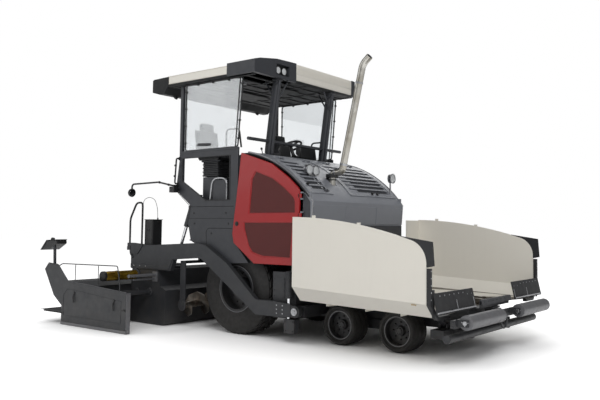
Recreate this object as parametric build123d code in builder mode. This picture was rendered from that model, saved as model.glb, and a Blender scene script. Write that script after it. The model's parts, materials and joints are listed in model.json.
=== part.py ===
from build123d import *
import os
from math import cos, radians, sin, sqrt

# Wheeled asphalt paver with an extending screed.
# X runs forward to the hopper, Y to the left, Z up. The origin is on the ground, at the
# middle of the machine's overall length. "Ahead" is a distance ahead of the rear axle.
# Right-hand pieces are drawn first, at negative Y, and mirrored to the left.

os.makedirs("parts", exist_ok=True)

# ---- Running gear ----
rear_axle_x = -245.0
rear_tyre_radius = 665.0
rear_tyre_width = 445.0
rear_wheel_y = 940.0          # middle of the tread from the centre line
rear_rim_radius = 343.0       # over the flange
front_tyre_radius = 270.0
front_tyre_width = 360.0
front_wheel_y = 770.0
front_rim_radius = 190.0
front_wheels_ahead = {"fore": 2640.0, "aft": 1740.0}
kingpin_y = 660.0
kingpin_radius = 20.0
bead_share = 0.82             # width over the beads, as a share of the tyre's width
running_fit = 0.05            # radial clearance of a pin in its eye
gap = 6.0                     # clearance round a lid, door or other moving panel

# ---- Frame ----
tow_pin_radius = 35.0
cylinder_pin_radius = 16.0
lug_gap = 84.0                # between the two lugs of a cylinder's eye
eye_wall = 10.5               # round the bore of a rod's eye
wing_eye_play = 7.5           # radial play of a wing cylinder's rod eye on its pin
lift_eye_play = 4.0           # the same at the screed lifting cylinder
cross_beam_top = 330.0        # front cross beam that carries the wing cylinders
beam_pivot_ahead = 3540.0
tunnel_half_width = 580.0     # inside, between the main side plates
frame_plate = 30.0
deck_height = 600.0           # top of the conveyor floor
deck_plate = 15.0
tunnel_height = 400.0         # above the conveyor floor
tunnel_top = deck_height + tunnel_height
beam_top = tunnel_top + 40    # cross members over the tunnel's rear end
front_rail_y = 430.0          # outer face of the front frame
front_frame_ahead = 3400.0    # front end of the frame
rear_frame_ahead = -960.0
body_half_width = 1170.0      # over the inner bodywork
skin_y = body_half_width + 30              # outer face of the side panels
skin = 25.0
body_rear_ahead = -1000.0
firewall_ahead = 120.0
hopper_back_ahead = 1440.0
hopper_back_plate = 30.0
engine_top = 2100.0
exhaust_radius = 65.0
sill_height = 2 * rear_tyre_radius + 50    # body floor over the rear wheels
platform_height = 1920.0
platform_plate = 50.0
platform_rear_half_width = 980.0
bay_top = platform_height + 850
lift_head = (-1000.0, -1075.0, platform_height + 130)    # screed lifting cylinder's pins
lift_foot = (-1350.0, -1075.0, 1150.0)

# ---- Hood ----
hood_rear = (260.0, 2690.0)   # (ahead, height) along the arch of the hood
hood_crown = (880.0, 2470.0)
hood_crease = (1473.0, 1953.0)
hood_foot_height = 1620.0
door_hinge = (1300.0, -skin_y - 32)        # upright hinge line of a side door: ahead, Y
door_hinge_heights = (1750.0, 2020.0)
lid_hinge_offsets = (250.0, 890.0)         # from the centre line
lid_hinge_rise = 20.0                      # hinge line above the hood's skin
hood_thickness = 20.0
lid_rear_ahead = 620.0
lid_front_ahead = 1350.0
lid_inner_y = 120.0
lid_outer_y = 1020.0

# ---- Hopper ----
hopper_rear_ahead = 1510.0
wing_y = 1667.0               # outer face of a wing
wing_foot_y = 1490.0          # lower outer corner of a wing
wing_plate = 15.0
wing_hinge_y = 600.0
wing_hinge_height = deck_height + 10
wing_floor_y = wing_hinge_y + 34           # inner edge of a wing's floor, clear of the hinge lugs
cylinder_foot = (3165.0, -640.0, cross_beam_top + 40)    # wing cylinder's pins: ahead, Y, height
cylinder_head = (3165.0, -880.0, deck_height - 55)
hinge_pin_radius = 14.0
hinge_tube_radius = 24.0
wing_front_ahead = 3480.0

# ---- Screed ----
arm_y = skin_y + 50           # middle of a tow arm
arm_thickness = 80.0
tow_pin_ahead = 1250.0
tow_pin_height = 440.0
tow_guide_top = 960.0
screed_half_width = 1275.0
screed_top = 880.0
end_plate_y = 2200.0          # outer face of an end plate
auger_ahead = -1110.0
auger_height = 350.0
auger_radius = 190.0
extension_inner_y = 960.0

# ---- Steering wheel ----
steering_hub = (-300.0, 450.0, platform_height + 1030)
steering_axis = Vector(-0.4, 0, 0.92).normalized()
column_length = 380.0

# ---- Roof ----
roof_half_width = 1280.0
post_y = 680.0
post_radius = 45.0
roof_under = 3850.0           # underside of the roof


def save(piece, name):
    piece.label = name
    export_step(piece, f"parts/{name}.step")


def stations(points):
    """Side-view points, (ahead, height), as sketch points on the XZ plane."""
    return [(rear_axle_x + ahead, height) for ahead, height in points]


def side_plate(points, inner, outer, mode=Mode.ADD):
    """Right-hand upright plate from a side outline, between two distances from the centre line."""
    with BuildSketch(Plane.XZ.offset(inner)) as outline:
        Polygon(*stations(points), align=None)
    extrude(outline.sketch, amount=outer - inner, dir=(0, -1, 0), mode=mode)


def cross_plate(points, rear, front, mode=Mode.ADD):
    """Plate from a front-view outline of (Y, height) points, between two stations."""
    with BuildSketch(Plane.YZ.offset(rear_axle_x + rear)) as outline:
        Polygon(*points, align=None)
    extrude(outline.sketch, amount=front - rear, dir=(1, 0, 0), mode=mode)


def block(ahead, y, height, mode=Mode.ADD):
    """Box from three (low, high) pairs; Y is given from the centre line to the left."""
    size = [ahead[1] - ahead[0], y[1] - y[0], height[1] - height[0]]
    centre = (rear_axle_x + sum(ahead) / 2, sum(y) / 2, sum(height) / 2)
    with Locations(centre):
        Box(*size, mode=mode)


def rod(start, end, radius, mode=Mode.ADD):
    """Round bar between two (ahead, y, height) points."""
    foot = Vector(rear_axle_x, 0, 0) + Vector(*start)
    head = Vector(rear_axle_x, 0, 0) + Vector(*end)
    with BuildSketch(Plane(origin=foot, z_dir=head - foot)) as section:
        Circle(radius)
    extrude(section.sketch, amount=(head - foot).length, dir=head - foot, mode=mode)


def lug_pair(pin, root):
    """Two lugs and a pin along X for a cylinder's eye, from a beam above or below."""
    ahead, y, height = pin
    low, high = sorted((height + (25 if root < height else -25), root))
    for face in (ahead - lug_gap / 2 - 18, ahead + lug_gap / 2):
        block((face, face + 18), (y - 35, y + 35), (low, high))
    rod((ahead - lug_gap / 2, y, height), (ahead + lug_gap / 2, y, height), cylinder_pin_radius)


def bent_tube(points, radius, bend):
    """Tube along (ahead, y, height) points with arcs of one bend radius at the corners."""
    path_points = [Vector(rear_axle_x + ahead, y, height) for ahead, y, height in points]
    with BuildLine() as path:
        if len(points) > 2:
            FilletPolyline(*path_points, radius=bend)
        else:
            Line(*path_points)
    with BuildSketch(Plane(origin=path.line @ 0, z_dir=path.line % 0)) as section:
        Circle(radius)
    sweep(section.sketch, path=path.line)


def turned(points, ahead, y, height, side=1):
    """Body of revolution about a cross axis from (radius, outward offset) points."""
    base = Plane(origin=(rear_axle_x + ahead, 0, height), x_dir=(1, 0, 0), z_dir=(0, 0, 1))
    with BuildSketch(base) as section:
        Polygon(*[(radius, side * (y + offset)) for radius, offset in points], align=None)
    revolve(section.sketch, axis=Axis((rear_axle_x + ahead, 0, height), (0, 1, 0)))


def mirrored(piece, name):
    """The left-hand twin of a right-hand piece."""
    with BuildPart() as twin:
        mirror(piece, about=Plane.XZ)
    save(twin.part, name)


def tyre_section(radius, width, seat, flange):
    """Outline of a tyre as (radius, offset) points: beads inside the flanges, then the bulge."""
    half = width / 2
    bead = half * bead_share
    outer = [
        (seat, bead),
        (flange + 5, bead),
        (seat + (radius - seat) * 0.50, half),
        (seat + (radius - seat) * 0.82, half * 0.97),
        (radius, half * 0.80),
    ]
    inner = [(r, -offset) for r, offset in reversed(outer)]
    return outer + inner


# ================= Main frame =================
deck_bottom = deck_height - deck_plate
main_plate_outline = [
    (rear_frame_ahead, deck_bottom - 60),
    (rear_frame_ahead, beam_top),
    (-700, sill_height - 20),
    (hopper_back_ahead - 20, sill_height - 20),
    (hopper_back_ahead - 20, 320),
    (300, 320),
    (-200, 420),
]
tow_guide_outline = [(760, 320), (760, tow_guide_top), (1000, tow_guide_top), (1060, tow_guide_top - 60),
                     (1180, tow_guide_top - 60), (1180, 320)]
tow_block_y = body_half_width + 5
with BuildPart() as chassis:
    side_plate(main_plate_outline, tunnel_half_width, tunnel_half_width + frame_plate)
    side_plate(tow_guide_outline, tunnel_half_width + frame_plate, tow_block_y)
    block((1100, front_frame_ahead), (-front_rail_y, 30 - front_rail_y), (300, deck_bottom))
    # final drive that carries the rear wheel
    rod((0, -tunnel_half_width, rear_tyre_radius), (0, -800, rear_tyre_radius), 140)
    # tow point with its pin, the levelling cylinder above it and its foot
    pin_end = arm_y + arm_thickness / 2 + 10
    block((1180, 1330), (-tow_block_y, -tunnel_half_width), (370, 510))
    rod((tow_pin_ahead, -tow_block_y, tow_pin_height), (tow_pin_ahead, -pin_end, tow_pin_height), tow_pin_radius)
    rod((1110, -tow_block_y - 70, 610), (1110, -tow_block_y - 70, tow_guide_top), 45)
    block((1080, 1140), (-tow_block_y - 55, -tow_block_y + 5), (700, 860))
    block((1060, 1240), (-tow_block_y - 110, -tow_block_y + 15), (140, 330))
    lug_pair(cylinder_foot, cross_beam_top - 5)
    mirror(about=Plane.XZ)
    half_frame = front_rail_y - 30
    block((1100, 1130), (-half_frame, half_frame), (300, deck_bottom))
    block((front_frame_ahead - 30, front_frame_ahead), (-half_frame, half_frame), (300, deck_bottom))
    # webs between the front rails and the wider main plates
    inner = tunnel_half_width
    block((1100, 1130), (-inner, inner), (320, deck_bottom - 25))
    block((-940, -910), (-inner, inner), (tunnel_top, beam_top))
    block((-700, 1400), (-inner, inner), (tunnel_top, tunnel_top + 20))
    block((-600, -560), (-inner, inner), (deck_bottom - 45, deck_bottom))
    # front cross beam that carries the wing cylinders, and the low bar ahead of it
    block((3080, 3260), (-850, 850), (220, cross_beam_top))
    block((3130, 3210), (-front_rail_y, front_rail_y), (cross_beam_top - 10, cross_beam_top + 10))
    rod((3565, -1365, 318), (3565, 1365, 318), 50)
    block((3240, 3530), (-600, -540), (240, 320))
    block((3240, 3530), (540, 600), (240, 320))
    # nose plates and pin that the push beam swings on
    block((front_frame_ahead - 5, 3590), (-120, 120), (400, 425))
    block((front_frame_ahead - 5, 3590), (-120, 120), (deck_bottom - 18, deck_bottom))
    rod((beam_pivot_ahead, 0, 400), (beam_pivot_ahead, 0, deck_bottom), 30)
    # wing hinge pins in their lugs
    for side in (-1, 1):
        for ahead in (1560, 2480, 3370):
            y_ends = sorted((side * (front_rail_y - 10), side * (wing_hinge_y + 20)))
            block((ahead, ahead + 30), y_ends, (deck_bottom - 25, deck_bottom))
            lug_ends = sorted((side * (wing_hinge_y - 20), side * (wing_hinge_y + 20)))
            block((ahead, ahead + 30), lug_ends, (deck_bottom - 25, wing_hinge_height + 20))
        y = side * wing_hinge_y
        rod((1560, y, wing_hinge_height), (3400, y, wing_hinge_height), hinge_pin_radius)
save(chassis.part, "chassis")

# ================= Front bogies, knuckles and wheels =================
axle = front_tyre_radius
with BuildPart() as bogies:
    beam = [(1640, 200), (1640, 330), (2740, 330), (2740, 200)]
    side_plate(beam, front_rail_y, front_rail_y + 45)
    for ahead in front_wheels_ahead.values():
        block((ahead - 40, ahead + 40), (-kingpin_y, -front_rail_y - 40), (axle - 50, axle + 50))
        with Locations((rear_axle_x + ahead, -kingpin_y, axle)):
            Cylinder(45, 116)
            Cylinder(kingpin_radius + running_fit, 140, mode=Mode.SUBTRACT)
    mirror(about=Plane.XZ)
save(bogies.part, "front_bogies")

stub_y = front_wheel_y + 30
for place, ahead in front_wheels_ahead.items():
    with BuildPart() as knuckle:
        for low in (axle - 80, axle + 60):
            block((ahead - 45, ahead + 45), (-kingpin_y - 60, -kingpin_y + 45), (low, low + 20))
        block((ahead - 45, ahead + 45), (-kingpin_y - 75, -kingpin_y - 55), (axle - 80, axle + 80))
        rod((ahead, -kingpin_y, axle - 70), (ahead, -kingpin_y, axle + 70), kingpin_radius)
        rod((ahead, -kingpin_y - 60, axle), (ahead, -stub_y, axle), 40)
    save(knuckle.part, f"knuckle_right_{place}")
    mirrored(knuckle.part, f"knuckle_left_{place}")

    with BuildPart() as tyre:
        section = tyre_section(front_tyre_radius, front_tyre_width, front_rim_radius, front_rim_radius)
        turned(section, ahead, front_wheel_y, axle, side=-1)
    save(tyre.part, f"tyre_right_{place}")
    mirrored(tyre.part, f"tyre_left_{place}")

    with BuildPart() as rim:
        bead = front_tyre_width / 2 * bead_share
        barrel = front_rim_radius - 15
        turned(
            [(0, 30), (barrel, 30), (barrel, -bead), (front_rim_radius, -bead),
             (front_rim_radius, bead), (barrel, bead), (barrel, 45), (70, 45), (60, 95), (0, 95)],
            ahead, front_wheel_y, axle, side=-1)
    save(rim.part, f"rim_right_{place}")
    mirrored(rim.part, f"rim_left_{place}")

# ================= Rear wheels =================
rim_seat = rear_rim_radius - 25
rim_barrel = rim_seat - 16
rim_half = rear_tyre_width / 2 * bead_share
with BuildPart() as tyre:
    section = tyre_section(rear_tyre_radius, rear_tyre_width, rim_seat, rear_rim_radius)
    turned(section, 0, rear_wheel_y, rear_tyre_radius, side=-1)
save(tyre.part, "tyre_right_rear")
mirrored(tyre.part, "tyre_left_rear")

with BuildPart() as rim:
    turned(
        [(0, -140), (150, -140), (150, 20), (rim_barrel, 20), (rim_barrel, -rim_half - 12),
         (rear_rim_radius, -rim_half - 12), (rear_rim_radius, -rim_half), (rim_seat, -rim_half),
         (rim_seat, rim_half), (rear_rim_radius, rim_half), (rear_rim_radius, rim_half + 12),
         (rim_barrel, rim_half + 12), (rim_barrel, 45), (160, 45), (150, 120), (0, 120)],
        0, rear_wheel_y, rear_tyre_radius, side=-1)
save(rim.part, "rim_right_rear")
mirrored(rim.part, "rim_left_rear")

# ================= Conveyor =================
chain_guard = 40.0
slat_pitch = 240.0
slat_count = 18
with BuildPart() as conveyor:
    block((rear_frame_ahead, front_frame_ahead), (-tunnel_half_width + 5, tunnel_half_width - 5),
          (deck_bottom, deck_height))
    block((rear_frame_ahead, front_frame_ahead), (-chain_guard, chain_guard),
          (deck_height, deck_height + 70))
    for index in range(slat_count):
        ahead = rear_frame_ahead + 60 + index * slat_pitch
        block((ahead, ahead + 35), (-tunnel_half_width + 20, tunnel_half_width - 20),
              (deck_height, deck_height + 16))
save(conveyor.part, "conveyor")

# ================= Body: floor, bulkheads and engine =================
with BuildPart() as body:
    front = hopper_back_ahead + hopper_back_plate
    block((body_rear_ahead, hopper_back_ahead), (-body_half_width, body_half_width),
          (sill_height - 20, sill_height))
    block((body_rear_ahead, body_rear_ahead + 20),
          (-platform_rear_half_width, platform_rear_half_width), (beam_top, platform_height - platform_plate))
    block((firewall_ahead, firewall_ahead + 20), (-body_half_width, body_half_width),
          (sill_height, hood_rear[1] - 90))
    block((hopper_back_ahead, front), (-body_half_width, body_half_width), (deck_height, hood_foot_height))
    gate = tunnel_half_width - 20
    block((hopper_back_ahead - 50, front + 50), (-gate, gate),
          (deck_height - 10, tunnel_top), mode=Mode.SUBTRACT)
save(body.part, "body_frame")

with BuildPart() as engine:
    block((300, 1250), (-430, 430), (sill_height, engine_top))
save(engine.part, "engine_block")

with BuildPart() as platform:
    top = platform_height
    low = top - platform_plate
    block((body_rear_ahead - 250, firewall_ahead), (-platform_rear_half_width, platform_rear_half_width),
          (low, top))
    block((-850, firewall_ahead), (-body_half_width, body_half_width), (low, top))
    # upright and pin that each lifting cylinder hangs from
    for side in (-1, 1):
        ahead, _, height = lift_head
        block((ahead - 30, ahead + 30), sorted((side * 1020, side * (platform_rear_half_width - 40))),
              (low, height + 40))
        rod((ahead, side * 1015, height), (ahead, side * 1110, height), cylinder_pin_radius)
save(platform.part, "platform")

# ================= Hood, lids and side doors =================
def hood_height(ahead):
    """Height of the hood's outer skin at a station on its arch."""
    rear, crown, crease = [Vector(x, 0, z) for x, z in stations([hood_rear, hood_crown, hood_crease])]
    arch = Edge.make_three_point_arc(rear, crown, crease)
    centre = arch.arc_center
    return centre.Z + sqrt(arch.radius**2 - (rear_axle_x + ahead - centre.X) ** 2)


lid_hinge = (lid_rear_ahead - gap / 2, hood_height(lid_rear_ahead) + lid_hinge_rise)


def lid_hinge_part(offset, half_width, reach):
    """Leaf of a lid hinge that runs from the hinge line down onto the skin, ahead or behind it."""
    ahead, height = lid_hinge
    skin_height = hood_height(ahead + reach)
    leaf = [(ahead, height - 10), (ahead, height + 10), (ahead + reach, skin_height + 6),
            (ahead + reach, skin_height - 4)]
    side_plate(leaf, offset - half_width, offset + half_width)
    rod((ahead, half_width - offset, height), (ahead, -half_width - offset, height), 14)


def hood_skin(depth):
    """Sketch of the hood's arch band and front face on the XZ plane."""
    rear, crown, crease = stations([hood_rear, hood_crown, hood_crease])
    foot = (crease[0] - 25, hood_foot_height)
    with BuildSketch(Plane.XZ) as band:
        with BuildLine():
            arch = ThreePointArc(rear, crown, crease)
            Line(arch @ 1, foot)
            inner_foot = (foot[0] - depth, foot[1])
            inner_crease = (crease[0] - depth * 1.15, crease[1] - depth * 0.35)
            Line(foot, inner_foot)
            Line(inner_foot, inner_crease)
            inner_crown = (crown[0] - depth * 0.45, crown[1] - depth * 0.9)
            inner_rear = (rear[0] - depth * 0.1, rear[1] - depth)
            back = ThreePointArc(inner_crease, inner_crown, inner_rear)
            Line(back @ 1, rear)
        make_face()
    return band.sketch


with BuildPart() as hood:
    extrude(hood_skin(hood_thickness), amount=skin_y, both=True, dir=(0, 1, 0))
    for side in (-1, 1):
        y_ends = sorted((side * (lid_inner_y - gap), side * (lid_outer_y + gap)))
        block((lid_rear_ahead - gap, lid_front_ahead + gap), y_ends, (2000, 2800), mode=Mode.SUBTRACT)
        # jamb that the side door hangs on
        block((1310, 1446), sorted((side * (skin_y - 20), side * skin_y)), (1000, 2060))
        for height in door_hinge_heights:
            for low in (height - 55, height + 35):
                block((1292, 1325), sorted((side * skin_y, side * (-door_hinge[1] + 6))), (low, low + 20))
            y = side * -door_hinge[1]
            rod((door_hinge[0], y, height - 40), (door_hinge[0], y, height + 40), 6)
    block((800, 1060), (-exhaust_radius - 15, exhaust_radius + 15), (2200, 2700), mode=Mode.SUBTRACT)
with BuildPart() as hood_hinges:
    for offset in lid_hinge_offsets:
        for end in (-60, 60):
            lid_hinge_part(offset + end, 10, -45)
        ahead, height = lid_hinge
        rod((ahead, -offset - 60, height), (ahead, 60 - offset, height), 7)
    mirror(about=Plane.XZ)
with BuildPart() as hood_with_hinges:
    add(hood.part)
    add(hood_hinges.part)
save(hood_with_hinges.part, "hood_shell")

with BuildPart() as lid:
    extrude(hood_skin(hood_thickness), amount=skin_y, both=True, dir=(0, 1, 0))
    block((lid_rear_ahead, lid_front_ahead), (-lid_outer_y, -lid_inner_y), (2000, 2800),
          mode=Mode.INTERSECT)
    for offset in lid_hinge_offsets:
        lid_hinge_part(offset, 45, 45)
        ahead, height = lid_hinge
        rod((ahead, -offset - 60, height), (ahead, 60 - offset, height), 7 + running_fit, mode=Mode.SUBTRACT)
save(lid.part, "hood_lid_right")
mirrored(lid.part, "hood_lid_left")

door_outline = [(160, 2680), (760, 2490), (1070, 2285), (1240, 2140), (1280, 2080), (1270, 1750),
                (1180, 1060), (440, 1060), (30, 1350), (0, 1480), (30, 1710), (70, 1990)]
with BuildPart() as door:
    side_plate(door_outline, skin_y + 1, skin_y + 40)
    for height in door_hinge_heights:
        ahead, y = door_hinge
        block((1250, ahead), (y - 8, y + 8), (height - 30, height + 30))
        rod((ahead, y, height - 30), (ahead, y, height + 30), 11)
        rod((ahead, y, height - 40), (ahead, y, height + 40), 6 + running_fit, mode=Mode.SUBTRACT)
save(door.part, "side_door_right")
mirrored(door.part, "side_door_left")

# ================= Side bays =================
bay_outline = [(-110, 1040), (-940, 1360), (-1010, 1640), (-940, 1900), (-1310, 2160), (-1220, bay_top),
               (60, bay_top), (60, 1990), (20, 1710), (-10, 1480), (20, 1350), (300, 1060)]
bay_window = [(-1160, 2300), (-1160, 2660), (-110, 2660), (-110, 1990), (-620, 1990)]
with BuildPart() as bays:
    side_plate(bay_outline, skin_y - skin, skin_y)
    side_plate(bay_window, skin_y - skin - 10, skin_y + 10, mode=Mode.SUBTRACT)
    mirror(about=Plane.XZ)
save(bays.part, "side_bays")

# ================= Roof and posts =================
roof_lip = roof_under - 50    # lower edge of the roof's front, on the posts
roof_outline = [(-1850, roof_under - 20), (-1850, roof_under + 50), (-1780, roof_under + 80),
                (380, roof_under + 180), (450, roof_under + 140), (450, roof_under + 30), (400, roof_lip),
                (330, roof_lip), (330, roof_under), (-1790, roof_under), (-1800, roof_under - 20)]
with BuildPart() as roof:
    side_plate(roof_outline, -roof_half_width, roof_half_width)
save(roof.part, "roof_canopy")

with BuildPart() as housing:
    low, high = roof_under + 100, roof_under + 230
    side_plate([(-180, low), (-180, high), (380, high + 50), (450, high), (450, low)], 250, roof_half_width - 10)
    add(roof.part, mode=Mode.SUBTRACT)
save(housing.part, "roof_housing")

with BuildPart() as posts:
    foot = firewall_ahead + 20 + post_radius + 5
    bent_tube([(foot, -post_y, sill_height), (foot, -post_y, 2650), (360, -post_y, roof_lip - 10)],
              post_radius, 300)
    block((325, 400), (-post_y - 60, 60 - post_y), (roof_lip - 30, roof_lip))
    block((-1270, -1210), (-skin_y + skin, -skin_y + skin + 60), (2170, roof_under))
    mirror(about=Plane.XZ)
    rod((225, -body_half_width, 2900), (225, body_half_width, 2900), 25)
save(posts.part, "roof_posts")

with BuildPart() as glass:
    side_plate([(-1150, bay_top), (-1150, roof_lip - 20), (130, roof_lip), (40, bay_top)], skin_y - 20, skin_y - 14)
    mirror(about=Plane.XZ)
save(glass.part, "side_glass")

# ================= Operator's place =================
with BuildPart() as console:
    block((-160, firewall_ahead - 10), (-1050, 1050), (platform_height, platform_height + 780))
    rod(tuple(Vector(*steering_hub) - steering_axis * column_length), steering_hub, 30)
save(console.part, "console")

wheel_plane = Plane(origin=Vector(rear_axle_x, 0, 0) + Vector(*steering_hub), z_dir=steering_axis)
with BuildPart() as steering_wheel:
    with BuildSketch(wheel_plane) as ring:
        Circle(210)
        Circle(180, mode=Mode.SUBTRACT)
        Rectangle(370, 30)
        Circle(45)
    extrude(ring.sketch, amount=24, dir=wheel_plane.z_dir)
save(steering_wheel.part, "steering_wheel")

with BuildPart() as seats:
    seat_base = platform_height + 680
    block((-900, -450), (-1120, -680), (seat_base, seat_base + 140))
    block((-1020, -900), (-1120, -680), (seat_base + 40, seat_base + 520))
    block((-850, -500), (-1050, -750), (platform_height, seat_base))
    mirror(about=Plane.XZ)
save(seats.part, "seats")

# ================= Exhaust, lamps and rails =================
with BuildPart() as exhaust:
    bent_tube([(930, 0, engine_top), (930, 0, 2330), (1095, 0, 3450), (1210, 0, 4000), (1330, 0, 4130)],
              exhaust_radius, 120)
save(exhaust.part, "exhaust_stack")

with BuildPart() as lamps:
    for y in (-1110, 1110):
        rod((900, y, 2420), (900, y, 2525), 12)
        rod((860, y, 2580), (950, y, 2580), 60)
    extrude(hood_skin(hood_thickness * 3), amount=skin_y, both=True, dir=(0, 1, 0), mode=Mode.SUBTRACT)
save(lamps.part, "work_lamps")

with BuildPart() as rails:
    bent_tube([(-1260, -skin_y, 2230), (-1260, -1330, 2230), (-1560, -1350, 2290), (-2170, -1400, 2270),
               (-2170, -1400, 2130)], 14, 50)
    mirror(about=Plane.XZ)
save(rails.part, "mirror_arms")

# ================= Hopper wings =================
wing_sections = {                # ahead: (foot height, chamfer height)
    hopper_rear_ahead: (deck_height + 30, deck_height + 220),
    wing_front_ahead + 70: (deck_height - 35, deck_height + 130),
}
wing_top = [(hopper_rear_ahead, 1722), (2400, 1652), (3250, 1462)]
wing_nose = [(3405, 1370), (3470, 1170)]


def wing_outline(foot_height, chamfer_height):
    """Front-view section of the right wing: floor, chamfer and outer wall."""
    t = wing_plate
    return [(-wing_floor_y, deck_height), (-wing_foot_y, foot_height), (-wing_y, chamfer_height),
            (-wing_y, 1800), (-wing_y + t, 1800), (-wing_y + t, chamfer_height + 6),
            (-wing_foot_y + 6, foot_height + t), (-wing_floor_y, deck_height + t)]


def wing_side_view():
    """Side view of a wing: its falling top edge, round nose and straight front."""
    with BuildSketch(Plane.XZ.offset(500)) as view:
        with BuildLine():
            top = ThreePointArc(*stations(wing_top))
            nose = ThreePointArc(top @ 1, *stations(wing_nose))
            base = [(wing_front_ahead, 1100), (wing_front_ahead, 500), (hopper_rear_ahead, 500)]
            Polyline(nose @ 1, *stations(base), top @ 0)
        make_face()
    return view.sketch


with BuildPart() as wing:
    for ahead, (foot_height, chamfer_height) in wing_sections.items():
        with BuildSketch(Plane.YZ.offset(rear_axle_x + ahead)):
            Polygon(*wing_outline(foot_height, chamfer_height), align=None)
    loft(ruled=True)
    inside_foot, inside_wall = 6 - wing_foot_y, wing_plate - 3 - wing_y
    cross_plate([(-wing_floor_y - 6, deck_height + 10), (inside_foot, deck_height + 50),
                 (inside_wall, deck_height + 230), (inside_wall, 1710), (-1240, 1710), (-1240, 1250),
                 (-760, deck_height + 120)], hopper_rear_ahead, hopper_rear_ahead + wing_plate)
    extrude(wing_side_view(), amount=1300, dir=(0, -1, 0), mode=Mode.INTERSECT)
    # hinge tubes between the lugs on the frame
    for rear_end, front_end in ((1620, 1900), (2200, 2440), (2540, 2800), (3080, 3340)):
        tube = [(rear_end, -wing_hinge_y, wing_hinge_height), (front_end, -wing_hinge_y, wing_hinge_height)]
        rod(*tube, hinge_tube_radius)
        block((rear_end, front_end), (-wing_floor_y - 16, -wing_hinge_y - 15), (deck_height, deck_height + wing_plate))
        rod(*tube, hinge_pin_radius + running_fit, mode=Mode.SUBTRACT)
    # eye for the lifting cylinder
    lug_pair(cylinder_head, deck_height)
save(wing.part, "wing_right")
mirrored(wing.part, "wing_left")

with BuildPart() as wing_trim:
    with BuildSketch(Plane.XZ.offset(wing_y - wing_plate)) as corner:
        Polygon(*stations([(3130, 1500), (3550, 1440), (3570, 1170), (3480, 1150), (3300, 1200)]), align=None)
    extrude(corner.sketch, amount=wing_plate, dir=(0, -1, 0))
    extrude(wing_side_view(), amount=1300, dir=(0, -1, 0), mode=Mode.SUBTRACT)
    foot_height, chamfer_height = wing_sections[wing_front_ahead + 70]
    cross_plate([(-1640, 1140), (-1680, 1140), (-1680, chamfer_height - 5), (-1500, foot_height - 20),
                 (-1200, foot_height - 20), (-1200, foot_height + 20), (-1480, foot_height + 20),
                 (-1640, chamfer_height + 15)], wing_front_ahead, wing_front_ahead + 50)
    with BuildSketch(Plane.XZ.offset(625)) as apron:
        Polygon(*stations([(3530, 860), (3545, 860), (3600, 620), (3585, 620)]), align=None)
    extrude(apron.sketch, amount=1010, dir=(0, -1, 0))
    block((3525, 3535), (-1640, -1590), (585, 900))
save(wing_trim.part, "wing_trim_right")
mirrored(wing_trim.part, "wing_trim_left")

# ================= Wing cylinders =================
eye_bore = cylinder_pin_radius + running_fit


def cylinder(foot, head, barrel_length, rod_start, radii, eye_axis, play):
    """A barrel on its foot pin and the rod in it, whose eye has radial play on the head pin."""
    barrel_radius, rod_radius = radii
    reach = Vector(*head) - Vector(*foot)
    along = reach.normalized()
    half_eye = Vector(*eye_axis) * (lug_gap / 2 - 2)
    bore = Vector(*eye_axis) * lug_gap
    barrel_end = Vector(*foot) + along * barrel_length
    rod_end = Vector(*foot) + along * rod_start
    rod_eye_bore = cylinder_pin_radius + play
    with BuildPart() as barrel:
        rod(tuple(Vector(*foot) + along * 8), tuple(barrel_end), barrel_radius)
        rod(tuple(Vector(*foot) - half_eye), tuple(Vector(*foot) + half_eye), 30)
        rod(tuple(Vector(*foot) - bore), tuple(Vector(*foot) + bore), eye_bore, mode=Mode.SUBTRACT)
        rod(tuple(Vector(*foot) + along * 45), tuple(barrel_end), rod_radius + running_fit,
            mode=Mode.SUBTRACT)
    with BuildPart() as ram:
        rod(tuple(rod_end), tuple(head), rod_radius)
        rod(tuple(Vector(*head) - half_eye), tuple(Vector(*head) + half_eye), rod_eye_bore + eye_wall)
        rod(tuple(Vector(*head) - bore), tuple(Vector(*head) + bore), rod_eye_bore, mode=Mode.SUBTRACT)
    return barrel.part, ram.part


barrel, ram = cylinder(cylinder_foot, cylinder_head, 250, 50, (38, 20), (1, 0, 0), wing_eye_play)
save(barrel, "wing_barrel_right")
mirrored(barrel, "wing_barrel_left")
save(ram, "wing_rod_right")
mirrored(ram, "wing_rod_left")

# ================= Push beam and rollers =================
roller_ahead = 3765.0
roller_height = 515.0
roller_radius = 85.0
roller_inner_y = 300.0
roller_outer_y = 1270.0
roller_shaft_radius = 16.0
with BuildPart() as push_beam:
    block((3600, 3660), (-1330, 1330), (450, 535))
    block((beam_pivot_ahead - 70, 3610), (-100, 100), (432, 560))
    with Locations((rear_axle_x + beam_pivot_ahead, 0, 505)):
        Cylinder(30 + running_fit, 200, mode=Mode.SUBTRACT)
    for side in (-1, 1):
        for y in (roller_inner_y - 30, roller_outer_y + 10):
            block((3650, roller_ahead + 35), sorted((side * y, side * (y + 20))), (470, 550))
        rod((roller_ahead, side * (roller_inner_y - 20), roller_height),
            (roller_ahead, side * (roller_outer_y + 20), roller_height), roller_shaft_radius)
    block((3655, 3712), (-14, 14), (470, 545))
    with BuildSketch(Plane(origin=(rear_axle_x + 3690, 90, 410), z_dir=(0, 0, 1))) as eye:
        Circle(14)
    revolve(eye.sketch, axis=Axis((rear_axle_x + 3690, 0, 410), (1, 0, 0)))
save(push_beam.part, "push_beam")

with BuildPart() as roller:
    inner_end = (roller_ahead, -roller_inner_y, roller_height)
    outer_end = (roller_ahead, -roller_outer_y, roller_height)
    rod(inner_end, outer_end, roller_radius)
    rod(inner_end, outer_end, roller_shaft_radius + running_fit, mode=Mode.SUBTRACT)
save(roller.part, "push_roller_right")
mirrored(roller.part, "push_roller_left")

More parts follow.
